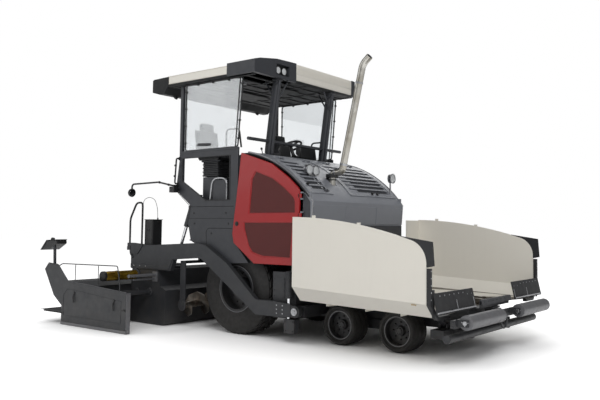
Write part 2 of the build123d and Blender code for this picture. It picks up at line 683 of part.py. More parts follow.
# ================= Tow arms and screed =================
arm_outline = [(1250, 510), (1250, 370), (900, 350), (530, 350), (-290, 890), (-600, 1090), (-670, 1100),
               (-1230, 1060), (-1300, screed_top), (-2290, screed_top), (-2300, 1300), (-1860, 1270), (-670, 1330),
               (-510, 1300), (-60, 1050), (530, 555), (900, 560)]
with BuildPart() as arms:
    inner, outer = arm_y - arm_thickness / 2, arm_y + arm_thickness / 2
    side_plate(arm_outline, inner, outer)
    eye = [(tow_pin_ahead, -inner, tow_pin_height), (tow_pin_ahead, -outer, tow_pin_height)]
    rod(*eye, 80)
    rod(*eye, tow_pin_radius + running_fit, mode=Mode.SUBTRACT)
    rod((lift_foot[0], -inner, lift_foot[2]), (lift_foot[0], -1040, lift_foot[2]), cylinder_pin_radius)
    mirror(about=Plane.XZ)
save(arms.part, "tow_arms")

screed_outline = [(-1420, 40), (-1420, 560), (-1560, 620), (-1620, screed_top), (-2270, screed_top), (-2300, 400),
                  (-2300, 10), (-1460, 10)]
screed_inside = [(-1440, 50), (-1440, 550), (-1580, 610), (-1640, screed_top - 20), (-2250, screed_top - 20), (-2280, 400),
                 (-2280, 30), (-1470, 30)]
guide_rods = ((-1800, 520), (-2120, 500))
guide_radius = 35.0
with BuildPart() as screed:
    side_plate(screed_outline, -screed_half_width, screed_half_width)
    side_plate(screed_inside, 20 - screed_half_width, screed_half_width - 20, mode=Mode.SUBTRACT)
    for ahead, height in guide_rods:
        rod((ahead, -screed_half_width - 5, height), (ahead, screed_half_width + 5, height),
            guide_radius + running_fit, mode=Mode.SUBTRACT)
save(screed.part, "screed_main")

end_plate_outline = [(-1180, 5), (-1180, 600), (-2560, 690), (-2690, 700), (-2980, 950), (-3250, 970),
                     (-3360, 860), (-3080, 450), (-2850, 300), (-2850, 5)]
with BuildPart() as extension:
    side_plate(end_plate_outline, end_plate_y - 15, end_plate_y)
    side_plate([(-2310, 10), (-2310, 620), (-2420, 700), (-2780, 700), (-2780, 10)], extension_inner_y,
               end_plate_y - 15)
    side_plate([(-2330, 30), (-2330, 600), (-2430, 680), (-2760, 680), (-2760, 30)],
               extension_inner_y + 20, end_plate_y - 35, mode=Mode.SUBTRACT)
    for ahead, height in guide_rods:
        rod((ahead, -end_plate_y + 10, height), (ahead, -1000, height), guide_radius)
    block((-3300, -2840), (-end_plate_y, -extension_inner_y), (180, 200))
save(extension.part, "screed_extension_right")
mirrored(extension.part, "screed_extension_left")

# ================= Augers =================
shaft_radius = 45.0
blade = 12.0
flight_pitch = 360.0
steps_per_turn = 8
with BuildPart() as auger_frame:
    depth = (auger_ahead - 60, auger_ahead + 60)
    block(depth, (-50, 50), (220, beam_top))
    block(depth, (-1195, 1195), (beam_top - 40, beam_top))
    block((auger_ahead + 60, rear_frame_ahead), (-tunnel_half_width - 30, tunnel_half_width + 30),
          (beam_top - 40, beam_top))
    for side in (-1, 1):
        block(depth, sorted((side * 1180, side * 1195)), (290, beam_top))
save(auger_frame.part, "auger_frame")


def flight_section(angle, y):
    """Radial slice of an auger blade at one angle, on a plane that holds the shaft's axis."""
    outward = Vector(cos(radians(angle)), 0, sin(radians(angle)))
    centre = Vector(rear_axle_x + auger_ahead, y, auger_height)
    middle = centre + outward * (auger_radius + shaft_radius - 4) / 2
    plane = Plane(origin=middle, x_dir=outward, z_dir=outward.cross(Vector(0, 1, 0)))
    with BuildSketch(plane) as slice_:
        Rectangle(auger_radius - shaft_radius + 4, blade)
    return slice_.sketch


with BuildPart() as auger:
    rod((auger_ahead, -50, auger_height), (auger_ahead, -1180, auger_height), shaft_radius)
    turns = 3
    for step in range(turns * steps_per_turn):
        angle = 360.0 / steps_per_turn
        advance = flight_pitch / steps_per_turn
        start_y = -75 - step * advance
        loft([flight_section(step * angle, start_y), flight_section((step + 1) * angle, start_y - advance)],
             ruled=True)
save(auger.part, "auger_right")
mirrored(auger.part, "auger_left")

# ================= Screed lifting cylinders =================
barrel, ram = cylinder(lift_head, lift_foot, 500, 460, (45, 24), (0, 1, 0), lift_eye_play)
save(barrel, "lift_barrel_right")
mirrored(barrel, "lift_barrel_left")
save(ram, "lift_rod_right")
mirrored(ram, "lift_rod_left")
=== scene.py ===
"""Looks of the wheeled asphalt paver: materials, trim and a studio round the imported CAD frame."""

import json
import math

import bmesh
import bpy
from mathutils import Matrix, Vector
from mathutils.geometry import tessellate_polygon

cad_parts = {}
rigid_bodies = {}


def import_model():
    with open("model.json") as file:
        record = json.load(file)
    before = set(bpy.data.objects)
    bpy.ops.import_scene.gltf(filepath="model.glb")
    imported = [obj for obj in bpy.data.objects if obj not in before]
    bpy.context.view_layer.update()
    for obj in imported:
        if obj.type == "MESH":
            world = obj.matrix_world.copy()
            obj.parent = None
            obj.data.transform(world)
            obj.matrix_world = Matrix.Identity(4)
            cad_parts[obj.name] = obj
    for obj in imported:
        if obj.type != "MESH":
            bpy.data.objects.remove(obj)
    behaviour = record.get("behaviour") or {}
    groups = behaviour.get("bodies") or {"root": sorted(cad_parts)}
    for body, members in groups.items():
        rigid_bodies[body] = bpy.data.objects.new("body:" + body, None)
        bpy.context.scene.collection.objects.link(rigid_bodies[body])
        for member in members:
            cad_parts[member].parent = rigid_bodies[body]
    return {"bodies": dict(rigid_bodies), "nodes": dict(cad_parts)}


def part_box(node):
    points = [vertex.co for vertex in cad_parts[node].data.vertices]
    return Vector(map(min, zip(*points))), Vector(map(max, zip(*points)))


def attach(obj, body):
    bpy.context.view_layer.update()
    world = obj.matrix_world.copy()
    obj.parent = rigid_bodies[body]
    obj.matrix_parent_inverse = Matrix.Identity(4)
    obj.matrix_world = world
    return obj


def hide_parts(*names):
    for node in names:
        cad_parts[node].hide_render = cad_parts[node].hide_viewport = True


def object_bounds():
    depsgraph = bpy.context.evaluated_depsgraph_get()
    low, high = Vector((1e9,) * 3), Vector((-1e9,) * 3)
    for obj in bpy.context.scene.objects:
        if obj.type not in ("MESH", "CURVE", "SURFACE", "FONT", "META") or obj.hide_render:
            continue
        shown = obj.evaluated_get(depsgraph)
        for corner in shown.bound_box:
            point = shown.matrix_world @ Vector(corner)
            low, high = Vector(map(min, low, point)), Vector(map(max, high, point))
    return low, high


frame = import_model()
cad_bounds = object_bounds()

# ---- Places ----
SIDES = {"right": -1, "left": 1}      # sign of Y on each side


def middle(node):
    low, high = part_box(node)
    return (Vector(low) + Vector(high)) / 2


AXLE_X = middle("tyre_right_rear").x


def at(ahead, y, z):
    """A point given in millimetres ahead of the rear axle, to the left and up."""
    return Vector((AXLE_X + ahead / 1000, y / 1000, z / 1000))


# ================= Materials =================
class Tree:
    """A material's node tree; add() sets inputs by name or links them from other nodes."""

    def __init__(self, name):
        self.material = bpy.data.materials.new(name)
        self.material.use_nodes = True
        self.nodes = self.material.node_tree.nodes
        self.links = self.material.node_tree.links
        self.shader = self.nodes["Principled BSDF"]
        self.place = self.add("TexCoord").outputs["Object"]

    def add(self, kind, settings=None, **inputs):
        node = self.nodes.new("ShaderNode" + kind)
        for key, value in (settings or {}).items():
            setattr(node, key, value)
        for key, value in inputs.items():
            self.put(node, int(key[1:]) if key[0] == "_" and key[1:].isdigit() else key.replace("_", " "),
                     value)
        return node

    def put(self, node, key, value):
        socket = node.inputs[key]
        if isinstance(value, bpy.types.NodeSocket):
            self.links.new(value, socket)
        elif isinstance(value, bpy.types.Node):
            self.links.new(value.outputs[0], socket)
        else:
            socket.default_value = value

    def noise(self, scale, detail=3, stretch=(1, 1, 1), rough=0.55):
        where = self.place
        if stretch != (1, 1, 1):
            where = self.add("Mapping", Vector=where, Scale=stretch).outputs[0]
        return self.add("TexNoise", Vector=where, Scale=scale, Detail=detail, Roughness=rough).outputs["Fac"]

    def ramp(self, value, low, high, to_low=0.0, to_high=1.0):
        return self.add("MapRange", Value=value, **{"_1": low, "_2": high, "_3": to_low,
                                                    "_4": to_high}).outputs[0]

    def maths(self, operation, a, b):
        return self.add("Math", {"operation": operation}, _0=a, _1=b).outputs[0]

    def blend(self, share, a, b, kind="MIX"):
        node = self.add("Mix", {"data_type": "RGBA", "blend_type": kind}, _0=share, _6=a, _7=b)
        return node.outputs[2]

    def edges(self, radius):
        """1 on the sharp edges of a piece, 0 on its faces."""
        rounded = self.add("Bevel", {"samples": 4}, Radius=radius).outputs[0]
        flat = self.add("NewGeometry").outputs["Normal"]
        dot = self.add("VectorMath", {"operation": "DOT_PRODUCT"}, _0=rounded, _1=flat).outputs["Value"]
        return self.ramp(dot, 0.995, 0.9)


def rgb(*values):
    """Linear colour from 8-bit display values."""
    return tuple((v / 255 / 12.92) if v <= 10 else ((v / 255 + 0.055) / 1.055) ** 2.4
                 for v in values) + (1.0,)


DUST = rgb(140, 130, 115)


def painted(name, colour, rough=0.35, metal=0.0, coat=0.0, dust=0.25, wear=0.15, worn=None, grain=0.00012,
            grain_scale=420, vary=0.06, round_edges=0.003):
    """Paint, powder coat or plastic with slow colour drift, low dust, rain streaks and rubbed edges."""
    t = Tree(name)
    dark = tuple(c * (1 - vary) for c in colour[:3]) + (1,)
    light = tuple(min(1, c * (1 + vary)) for c in colour[:3]) + (1,)
    shade = t.blend(t.noise(1.7, 4), dark, light)
    streaks = t.ramp(t.noise(3.0, 4, (6, 6, 0.5)), 0.52, 0.8, 0, 0.35 * dust)
    shade = t.blend(streaks, shade, tuple(c * 0.55 for c in colour[:3]) + (1,))
    height = t.add("SeparateXYZ", Vector=t.place).outputs["Z"]
    low = t.ramp(height, 1.1, 0.0, 0.0, 1.0)
    up = t.ramp(t.add("SeparateXYZ", Vector=t.add("NewGeometry").outputs["Normal"]).outputs["Z"], 0.3, 1.0, 0,
                0.5)
    patch = t.ramp(t.noise(5.0, 6), 0.35, 0.75, 0.1, 1.0)
    film = t.maths("MULTIPLY", t.maths("MULTIPLY", t.maths("MAXIMUM", low, up), patch), dust)
    shade = t.blend(film, shade, DUST)
    if wear:
        rubbed = t.maths("MULTIPLY", t.edges(round_edges * 1.5),
                         t.ramp(t.noise(14, 5), 0.42, 0.62, 0.15, wear * 4))
        shade = t.blend(rubbed, shade, worn or tuple(min(1, c * 1.6 + 0.02) for c in colour[:3]) + (1,))
    t.put(t.shader, "Base Color", shade)
    t.put(t.shader, "Roughness", t.ramp(t.noise(9, 5), 0.3, 0.7, rough - 0.05, rough + 0.09))
    if metal:
        t.put(t.shader, "Metallic", metal)
    if coat:
        t.put(t.shader, "Coat Weight", coat)
        t.put(t.shader, "Coat Roughness", 0.12)
    rounded = t.add("Bevel", {"samples": 4}, Radius=round_edges)
    bump = t.add("Bump", Strength=0.6, Distance=grain, Height=t.noise(grain_scale, 2), Normal=rounded)
    t.put(t.shader, "Normal", bump)
    return t.material


def metal(name, colour, rough=0.3, brushed=(1, 1, 60), stain=None):
    """Bare or plated metal with fine drawn lines and faint stains."""
    t = Tree(name)
    shade = t.blend(t.ramp(t.noise(6, 5), 0.35, 0.75), colour,
                    stain or tuple(c * 0.7 for c in colour[:3]) + (1,))
    t.put(t.shader, "Base Color", shade)
    t.put(t.shader, "Metallic", 1.0)
    lines = t.noise(9, 3, brushed)
    t.put(t.shader, "Roughness", t.ramp(lines, 0.3, 0.7, rough - 0.07, rough + 0.13))
    rounded = t.add("Bevel", {"samples": 4}, Radius=0.002)
    t.put(t.shader, "Normal", t.add("Bump", Strength=0.4, Distance=0.0001, Height=lines, Normal=rounded))
    return t.material


def rubber(name, colour, rough=0.7, dust=0.35):
    """Moulded rubber, greyer where road dust sits."""
    t = Tree(name)
    height = t.add("SeparateXYZ", Vector=t.place).outputs["Z"]
    film = t.maths("MULTIPLY", t.ramp(height, 0.9, 0.0, 0.25, 1.0),
                   t.ramp(t.noise(7, 6), 0.35, 0.7, 0.1, dust))
    t.put(t.shader, "Base Color", t.blend(film, colour, rgb(92, 86, 78)))
    t.put(t.shader, "Roughness", t.ramp(t.noise(20, 4), 0.3, 0.7, rough - 0.08, rough + 0.12))
    rounded = t.add("Bevel", {"samples": 4}, Radius=0.004)
    t.put(t.shader, "Normal", t.add("Bump", Strength=0.5, Distance=0.0004, Height=t.noise(160, 4),
                                    Normal=rounded))
    return t.material


def clear(name, colour, rough=0.03):
    """Glazing: see-through with a reflecting face and faint smears."""
    t = Tree(name)
    glass = t.add("BsdfGlossy", {}, Color=(1, 1, 1, 1), Roughness=rough)
    through = t.add("BsdfTransparent", {}, Color=colour)
    fresnel = t.add("Fresnel", IOR=1.45).outputs[0]
    smear = t.ramp(t.noise(3, 5), 0.45, 0.8, 0.0, 0.05)
    mixed = t.add("MixShader", _0=t.maths("ADD", t.maths("MULTIPLY", fresnel, 0.6), smear), _1=through,
                  _2=glass)
    t.links.new(mixed.outputs[0], t.nodes["Material Output"].inputs["Surface"])
    return t.material


def perforated(name, colour, hole, pitch):
    """Fine punched sheet: staggered holes in painted metal, coloured dark as painted shade seen through them.
    """
    t = Tree(name)
    cells = t.add("TexVoronoi", {"feature": "F1", "voronoi_dimensions": "3D"}, Vector=t.place,
                  Scale=1 / pitch, Randomness=0.0).outputs["Distance"]
    holes = t.ramp(cells, 0.36, 0.28)
    shade = t.blend(t.noise(2.2, 4), tuple(c * 0.85 for c in colour[:3]) + (1,), colour)
    # the holes take the dark colour: painted shade seen through the openings
    t.put(t.shader, "Base Color", t.blend(holes, shade, hole))
    t.put(t.shader, "Roughness", t.ramp(holes, 0, 1, 0.5, 0.9))
    t.put(t.shader, "Normal", t.add("Bump", {"invert": True}, Strength=0.8, Distance=0.002, Height=holes))
    return t.material


def woven(name, colour, rough=0.85):
    """Seat cloth: a fine two-way weave with sheen."""
    t = Tree(name)
    warp = t.add("TexWave", {"bands_direction": "X"}, Vector=t.place, Scale=210, Distortion=0.6)
    weft = t.add("TexWave", {"bands_direction": "Z"}, Vector=t.place, Scale=210, Distortion=0.6)
    weave = t.maths("ADD", warp.outputs["Fac"], weft.outputs["Fac"])
    shade = t.blend(t.ramp(weave, 0.4, 1.6), tuple(c * 0.6 for c in colour[:3]) + (1,), colour)
    shade = t.blend(t.ramp(t.noise(8, 4), 0.4, 0.7, 0, 0.3), shade, tuple(c * 1.6 for c in colour[:3]) + (1,))
    t.put(t.shader, "Base Color", shade)
    t.put(t.shader, "Roughness", t.ramp(t.noise(30, 3), 0.3, 0.7, rough - 0.1, rough + 0.1))
    t.put(t.shader, "Sheen Weight", 0.3)
    t.put(t.shader, "Normal", t.add("Bump", Strength=0.6, Distance=0.0006, Height=weave))
    return t.material


def lens(name, colour, ribs=240):
    """Ribbed lamp lens over a bright reflector."""
    t = Tree(name)
    t.put(t.shader, "Base Color", t.blend(t.noise(30, 2), tuple(c * 0.8 for c in colour[:3]) + (1,), colour))
    t.put(t.shader, "Roughness", t.ramp(t.noise(20, 3), 0.3, 0.7, 0.05, 0.16))
    t.put(t.shader, "Coat Weight", 1.0)
    wave = t.add("TexWave", {"bands_direction": "Y"}, Vector=t.place, Scale=ribs).outputs["Fac"]
    t.put(t.shader, "Normal", t.add("Bump", Strength=0.5, Distance=0.001, Height=wave))
    return t.material


CREAM = painted("cream_paint", rgb(236, 232, 222), 0.34, coat=0.15, dust=0.12, wear=0.05, vary=0.015,
                worn=rgb(240, 238, 230))
RED = painted("red_paint", rgb(158, 10, 16), 0.36, coat=0.15, dust=0.08, wear=0.05, vary=0.05)
# the second colour is painted shade seen through the mesh's holes
MESH = perforated("maroon_mesh", rgb(96, 16, 12), rgb(30, 8, 6), 0.011)
HOOD = painted("hood_grey", rgb(128, 131, 138), 0.4, dust=0.1, wear=0.06, vary=0.03)
PANEL = painted("panel_charcoal", rgb(50, 52, 57), 0.48, dust=0.06, wear=0.06, vary=0.06, grain=0.0003,
                grain_scale=700)
STEEL = painted("frame_charcoal", rgb(42, 44, 48), 0.5, dust=0.1, wear=0.1, vary=0.08, grain=0.0003)
PLASTIC = painted("black_plastic", rgb(24, 25, 27), 0.5, dust=0.05, wear=0.04, vary=0.08, grain=0.0004,
                  grain_scale=900)
DARK = painted("roof_lining", rgb(20, 21, 23), 0.7, dust=0.05, wear=0.0, vary=0.1)
TRIM = painted("flap_rubber", rgb(32, 33, 36), 0.58, dust=0.08, wear=0.06, vary=0.06)
TYRE = rubber("tyre_rubber", rgb(20, 20, 21), dust=0.14)
RIM = painted("rim_charcoal", rgb(38, 39, 42), 0.5, dust=0.14, wear=0.08, vary=0.08)
ROLLER = painted("roller_grey", rgb(112, 113, 117), 0.42, metal=0.3, dust=0.25, wear=0.12, vary=0.08)
WORN = metal("worn_steel", rgb(120, 116, 110), 0.42, (1, 1, 8), rgb(92, 76, 60))
BRIGHT = metal("bright_steel", rgb(176, 177, 180), 0.28)
CHROME = metal("chrome_rod", rgb(208, 209, 212), 0.12, (1, 1, 1))
STACK = metal("stainless_stack", rgb(186, 184, 178), 0.3, (30, 30, 0.6), rgb(150, 144, 132))
ZINC = metal("zinc_yellow", rgb(190, 158, 60), 0.35, (1, 1, 1), rgb(150, 112, 36))
GLASS = clear("side_glazing", (0.86, 0.875, 0.885, 1))
CLOTH = woven("seat_cloth", rgb(52, 53, 56))
SCREEN = painted("screen_glass", rgb(16, 20, 26), 0.12, coat=0.8, dust=0.02, wear=0.0, vary=0.02)
LAMP = lens("lamp_lens", rgb(225, 228, 230))
AMBER = lens("amber_lens", rgb(214, 96, 14))

NODE_MATERIALS = {"chassis": STEEL, "front_bogies": STEEL, "knuckle": STEEL, "tyre": TYRE, "rim": RIM,
                  "conveyor": WORN, "body_frame": PANEL, "engine_block": PLASTIC, "platform": PANEL,
                  "hood_shell": HOOD, "hood_lid": HOOD, "side_door": RED, "side_bays": PANEL,
                  "roof_canopy": CREAM, "roof_housing": PANEL, "roof_posts": PANEL, "side_glass": GLASS,
                  "console": PLASTIC, "steering_wheel": PLASTIC, "seats": CLOTH, "exhaust_stack": STACK,
                  "work_lamps": BRIGHT, "mirror_arms": PLASTIC, "wing_right": CREAM, "wing_left": CREAM,
                  "wing_trim": TRIM, "wing_barrel": STEEL, "wing_rod": CHROME, "push_beam": STEEL,
                  "push_roller": ROLLER, "tow_arms": STEEL, "screed_main": STEEL, "screed_extension": STEEL,
                  "auger_frame": STEEL, "auger": WORN, "lift_barrel": STEEL, "lift_rod": CHROME}
for node_name, node in frame["nodes"].items():
    prefixes = [prefix for prefix in NODE_MATERIALS if node_name.startswith(prefix)]
    finish = NODE_MATERIALS[max(prefixes, key=len)]
    for index in range(max(1, len(node.data.materials))):
        if index < len(node.data.materials):
            node.data.materials[index] = finish
        else:
            node.data.materials.append(finish)


# ================= Mesh building =================
AHEAD, OUT, UP = (1, 0, 0), (0, 1, 0), (0, 0, 1)
SIDE_VIEW, FRONT_VIEW, TOP_VIEW = 1, 0, 2      # the axis that each outline is drawn across


class Shape:
    """Solids gathered in one mesh. Every length is in millimetres: ahead of the axle, Y, height.

    With a side, Y counts outward from the middle and the shape is made for that side.
    """

    def __init__(self, side=""):
        self.side = side
        self.verts, self.faces = [], []

    def outward(self, v):
        """The point or direction with its Y turned to the shape's side, or back."""
        v = Vector(v)
        return Vector((v.x, v.y * SIDES.get(self.side, 1), v.z))

    def across(self, axis):
        """A unit direction square to an axis."""
        return self.outward(self.outward(axis).orthogonal()).normalized()

    def grow(self, verts, faces):
        base = len(self.verts)
        self.verts += [self.outward(v) for v in verts]
        self.faces += [tuple(base + index for index in face) for face in faces]
        return self

    def prism(self, outline, view, low, high):
        """Plate from an outline across one axis, between two planes on that axis."""
        low, high = sorted((low, high))
        count = len(outline)
        verts = []
        for level in (low, high):
            for a, b in outline:
                point = [a, b]
                point.insert(view, level)
                verts.append(point)
        sides = [(i, (i + 1) % count, count + (i + 1) % count, count + i) for i in range(count)]
        return self.grow(verts, [tuple(range(count))[::-1], tuple(range(count, 2 * count))] + sides)

    def plate(self, outline, holes, view, low, high):
        """Plate with openings, across one axis."""
        loops = [outline] + holes
        flat = [[Vector((a, b, 0)) for a, b in loop] for loop in loops]
        triangles = tessellate_polygon(flat)
        points = [point for loop in loops for point in loop]
        verts = []
        for level in (low, high):
            for a, b in points:
                place = [a, b]
                place.insert(view, level)
                verts.append(place)
        count = len(points)
        faces = [tuple(t) for t in triangles] + [tuple(count + i for i in reversed(t)) for t in triangles]
        start = 0
        for loop in loops:
            for i in range(len(loop)):
                a, b = start + i, start + (i + 1) % len(loop)
                faces.append((a, b, count + b, count + a))
            start += len(loop)
        return self.grow(verts, faces)

    def skin(self, first, last, y0, y1, low, high):
        """Curved slab that follows the hood's arch, between two distances from its skin."""
        steps = max(1, round((last - first) / 60))
        verts = []
        for step in range(steps + 1):
            ahead = first + (last - first) * step / steps
            for y in (y0, y1):
                for lift in (low, high):
                    verts.append(Vector((ahead, y, hood(ahead))) + hood_normal(ahead) * lift)
        faces = [(0, 2, 3, 1), tuple(4 * steps + i for i in (0, 1, 3, 2))]
        for step in range(steps):
            a, b = 4 * step, 4 * step + 4
            faces += [(a, a + 1, b + 1, b), (a + 2, b + 2, b + 3, a + 3), (a, b, b + 2, a + 2),
                      (a + 1, a + 3, b + 3, b + 1)]
        return self.grow(verts, faces)

    def box(self, ahead, y, height):
        outline = [(ahead[0], y[0]), (ahead[1], y[0]), (ahead[1], y[1]), (ahead[0], y[1])]
        return self.prism(outline, TOP_VIEW, *height)

    def slab(self, corners):
        """Plate between two faces, given as its eight corners."""
        return self.grow(corners, [(0, 3, 2, 1), (4, 5, 6, 7), (0, 1, 5, 4), (1, 2, 6, 5), (2, 3, 7, 6),
                                   (3, 0, 4, 7)])

    def ring(self, outer, inner, view, low, high):
        """Flat frame between two outlines of the same number of points."""
        low, high = sorted((low, high))
        count = len(outer)
        verts = []
        for level in (low, high):
            for outline in (outer, inner):
                for a, b in outline:
                    point = [a, b]
                    point.insert(view, level)
                    verts.append(point)
        faces = []
        for i in range(count):
            j = (i + 1) % count
            o0, o1, i0, i1 = i, j, count + i, count + j
            up = 2 * count
            faces += [(o0, o1, i1, i0), (up + o0, up + i0, up + i1, up + o1), (o0, up + o0, up + o1, o1),
                      (i0, i1, up + i1, up + i0)]
        return self.grow(verts, faces)

    def turned(self, profile, centre, axis, steps=24):
        """Closed profile of (radius, offset along the axis) points turned about an axis."""
        axis = Vector(axis).normalized()
        first = self.across(axis)
        second = axis.cross(first)
        centre = Vector(centre)
        verts = []
        for step in range(steps):
            angle = 2 * math.pi * step / steps
            out = first * math.cos(angle) + second * math.sin(angle)
            verts += [centre + out * (radius if radius > 0.05 else 0) + axis * offset
                      for radius, offset in profile]
        count = len(profile)
        faces = []
        for step in range(steps):
            here, there = step * count, (step + 1) % steps * count
            for i in range(count):
                j = (i + 1) % count
                faces.append((here + i, here + j, there + j, there + i))
        return self.grow(verts, faces)

    def band(self, inner, outer, low, high, centre, axis, steps=24):
        """Ring between two radii and two offsets along its axis."""
        return self.turned([(inner, low), (outer, low), (outer, high), (inner, high)], centre, axis, steps)

    def disc(self, centre, axis, radius, depth, lip=0.0, steps=24):
        """Round plate from a centre along an axis, with a chamfered rim."""
        edge = min(lip or depth * 0.3, radius * 0.4)
        profile = [(0.01, 0), (radius, 0), (radius, depth - edge), (radius - edge, depth), (0.01, depth)]
        return self.turned(profile, centre, axis, steps)

    def bolts(self, places, normal, across=22, tall=10):
        """Hexagon heads on washers."""
        for place in places:
            self.disc(place, normal, across * 0.72, tall * 0.22, steps=16)
            self.disc(Vector(place) + Vector(normal).normalized() * tall * 0.2, normal, across / 2, tall,
                      steps=6)
        return self

    def tube(self, points, radius, sides=12, bend=0.0, closed=False):
        """Round bar along points, with its corners rounded by a bend radius."""
        path = rounded_path([Vector(p) for p in points], bend, closed)
        count = len(path)
        verts, faces, normal = [], [], None
        for index, point in enumerate(path):
            before = path[index - 1] if index or closed else point
            after = path[(index + 1) % count] if index < count - 1 or closed else point
            along = (after - before).normalized()
            normal = (normal - along * normal.dot(along)).normalized() if normal else self.across(along)
            cross = along.cross(normal)
            for side in range(sides):
                angle = 2 * math.pi * side / sides
                verts.append(point + (normal * math.cos(angle) + cross * math.sin(angle)) * radius)
        for index in range(count if closed else count - 1):
            here, there = index * sides, (index + 1) % count * sides
            shift = 0
            if closed and index == count - 1:
                shift = min(range(sides), key=lambda s: (verts[there + s] - verts[here]).length)
            for side in range(sides):
                a, b = here + side, here + (side + 1) % sides
                c, d = there + (side + 1 + shift) % sides, there + (side + shift) % sides
                faces.append((a, b, c, d))
        if not closed:
            faces += [tuple(range(sides))[::-1], tuple(range((count - 1) * sides, count * sides))]
        return self.grow(verts, faces)

    def make(self, name, material, body="machine", bevel=1.5, sharp=32, segments=2):
        """The object, in metres, riding on its body. A bevel in millimetres rounds its sharp edges."""
        if self.side:
            name = f"{name}_{self.side}"
            body = f"{body}_{self.side}" if f"{body}_{self.side}" in frame["bodies"] else body
        points = [at(*v) for v in self.verts]
        piece = build_mesh(name, points, self.faces, material)
        mesh = piece.data
        work = bmesh.new()
        work.from_mesh(mesh)
        bmesh.ops.remove_doubles(work, verts=work.verts, dist=1e-6)
        loose = [edge for edge in work.edges if not edge.link_faces]
        bmesh.ops.delete(work, geom=loose, context="EDGES")
        bmesh.ops.recalc_face_normals(work, faces=work.faces)
        work.to_mesh(mesh)
        work.free()
        mesh.shade_smooth()
        mesh.set_sharp_from_angle(angle=math.radians(sharp))
        if bevel:
            rounding = piece.modifiers.new("rounded", "BEVEL")
            rounding.width, rounding.segments = bevel / 1000, segments
            rounding.limit_method, rounding.angle_limit = "ANGLE", math.radians(sharp)
            rounding.harden_normals = False
        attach(piece, body)
        return piece


def rounded_path(points, bend, closed=False, steps=5):
    """The points with each corner replaced by a short curve."""
    if not bend:
        return points
    path = []
    count = len(points)
    for index, corner in enumerate(points):
        if not closed and index in (0, count - 1):
            path.append(corner)
            continue
        before, after = points[index - 1], points[(index + 1) % count]
        reach = min(bend, (before - corner).length * 0.45, (after - corner).length * 0.45)
        start = corner + (before - corner).normalized() * reach
        end = corner + (after - corner).normalized() * reach
        for step in range(steps + 1):
            t = step / steps
            path.append(start * (1 - t) ** 2 + corner * 2 * t * (1 - t) + end * t**2)
    return path


def bolt_circle(x, y, z, radius, count, start=0.0):
    """Places on a circle square to Y."""
    angles = [2 * math.pi / count * i + start for i in range(count)]
    return [(x + radius * math.cos(a), y, z + radius * math.sin(a)) for a in angles]


def build_mesh(name, verts, faces, material):
    mesh = bpy.data.meshes.new(name)
    mesh.from_pydata([tuple(v) for v in verts], [], faces)
    mesh.materials.append(material)
    piece = bpy.data.objects.new(name, mesh)
    bpy.context.scene.collection.objects.link(piece)
    return piece


def arc_height(points, ahead):
    """Height at a station on the circle through three (ahead, height) points."""
    (x1, z1), (x2, z2), (x3, z3) = points
    d = 2 * (x1 * (z2 - z3) + x2 * (z3 - z1) + x3 * (z1 - z2))
    s1, s2, s3 = x1 * x1 + z1 * z1, x2 * x2 + z2 * z2, x3 * x3 + z3 * z3
    cx = (s1 * (z2 - z3) + s2 * (z3 - z1) + s3 * (z1 - z2)) / d
    cz = (s1 * (x3 - x2) + s2 * (x1 - x3) + s3 * (x2 - x1)) / d
    return cz + math.sqrt((x1 - cx) ** 2 + (z1 - cz) ** 2 - (ahead - cx) ** 2)


HOOD_ARCH = ((260, 2690), (880, 2470), (1473, 1953))    # (ahead, height), as in the CAD


def hood(ahead):
    return arc_height(HOOD_ARCH, ahead)


def hood_normal(ahead):
    """Outward direction of the hood's skin at a station."""
    rise = (hood(ahead + 5) - hood(ahead - 5)) / 10
    return Vector((-rise, 0, 1)).normalized()


def mm(node):
    """A node's box in millimetres ahead of the axle, Y and height: two corners."""
    return [Vector(((corner[0] - AXLE_X) * 1000, corner[1] * 1000, corner[2] * 1000))
            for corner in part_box(node)]


def inset(outline, distance):
    """An outline drawn in towards its middle by a distance in millimetres."""
    centre = (sum(a for a, _ in outline) / len(outline), sum(b for _, b in outline) / len(outline))
    inside = []
    for a, b in outline:
        away = math.hypot(a - centre[0], b - centre[1])
        inside.append((a + (centre[0] - a) * distance / away, b + (centre[1] - b) * distance / away))
    return inside


# ================= Forms that stand for plain CAD nodes =================
# Planes and places that several pieces share, in millimetres
SKIN_Y = 1200                     # outer face of the hood and the side bays
PANE_Y = 1183                     # middle of a side pane
LINING = 3850                     # underside of the roof
PLATFORM = 1920                   # operator's floor
ARM_FACE = 1290                   # outer face of the tow arms
SCREED_TOP = 880
END_PLATE = 2200                  # outer face of the screed's end plates
HINGE_HEIGHTS = (1750, 2020)      # of a side door
BRACKET_YS = (-765, -685)         # bars that carry the near work lamps
STEERING_HUB = Vector((-300, 450, PLATFORM + 1030))
COLUMN_AXIS = Vector((-0.4, 0, 0.92)).normalized()
STACK_FOOT = Vector((1372, -370, 2395))
STACK_TOP = Vector((1730, -370, 3960))
ROLLER_X, ROLLER_Z = 3765, 515
TOW_PIN = (1250, 1299, 440)
WIDTH_X, WIDTH_Z = -2170, 780     # axis of the cylinders on the screed's ends
AUGER_X, AUGER_Z = -1110, 350

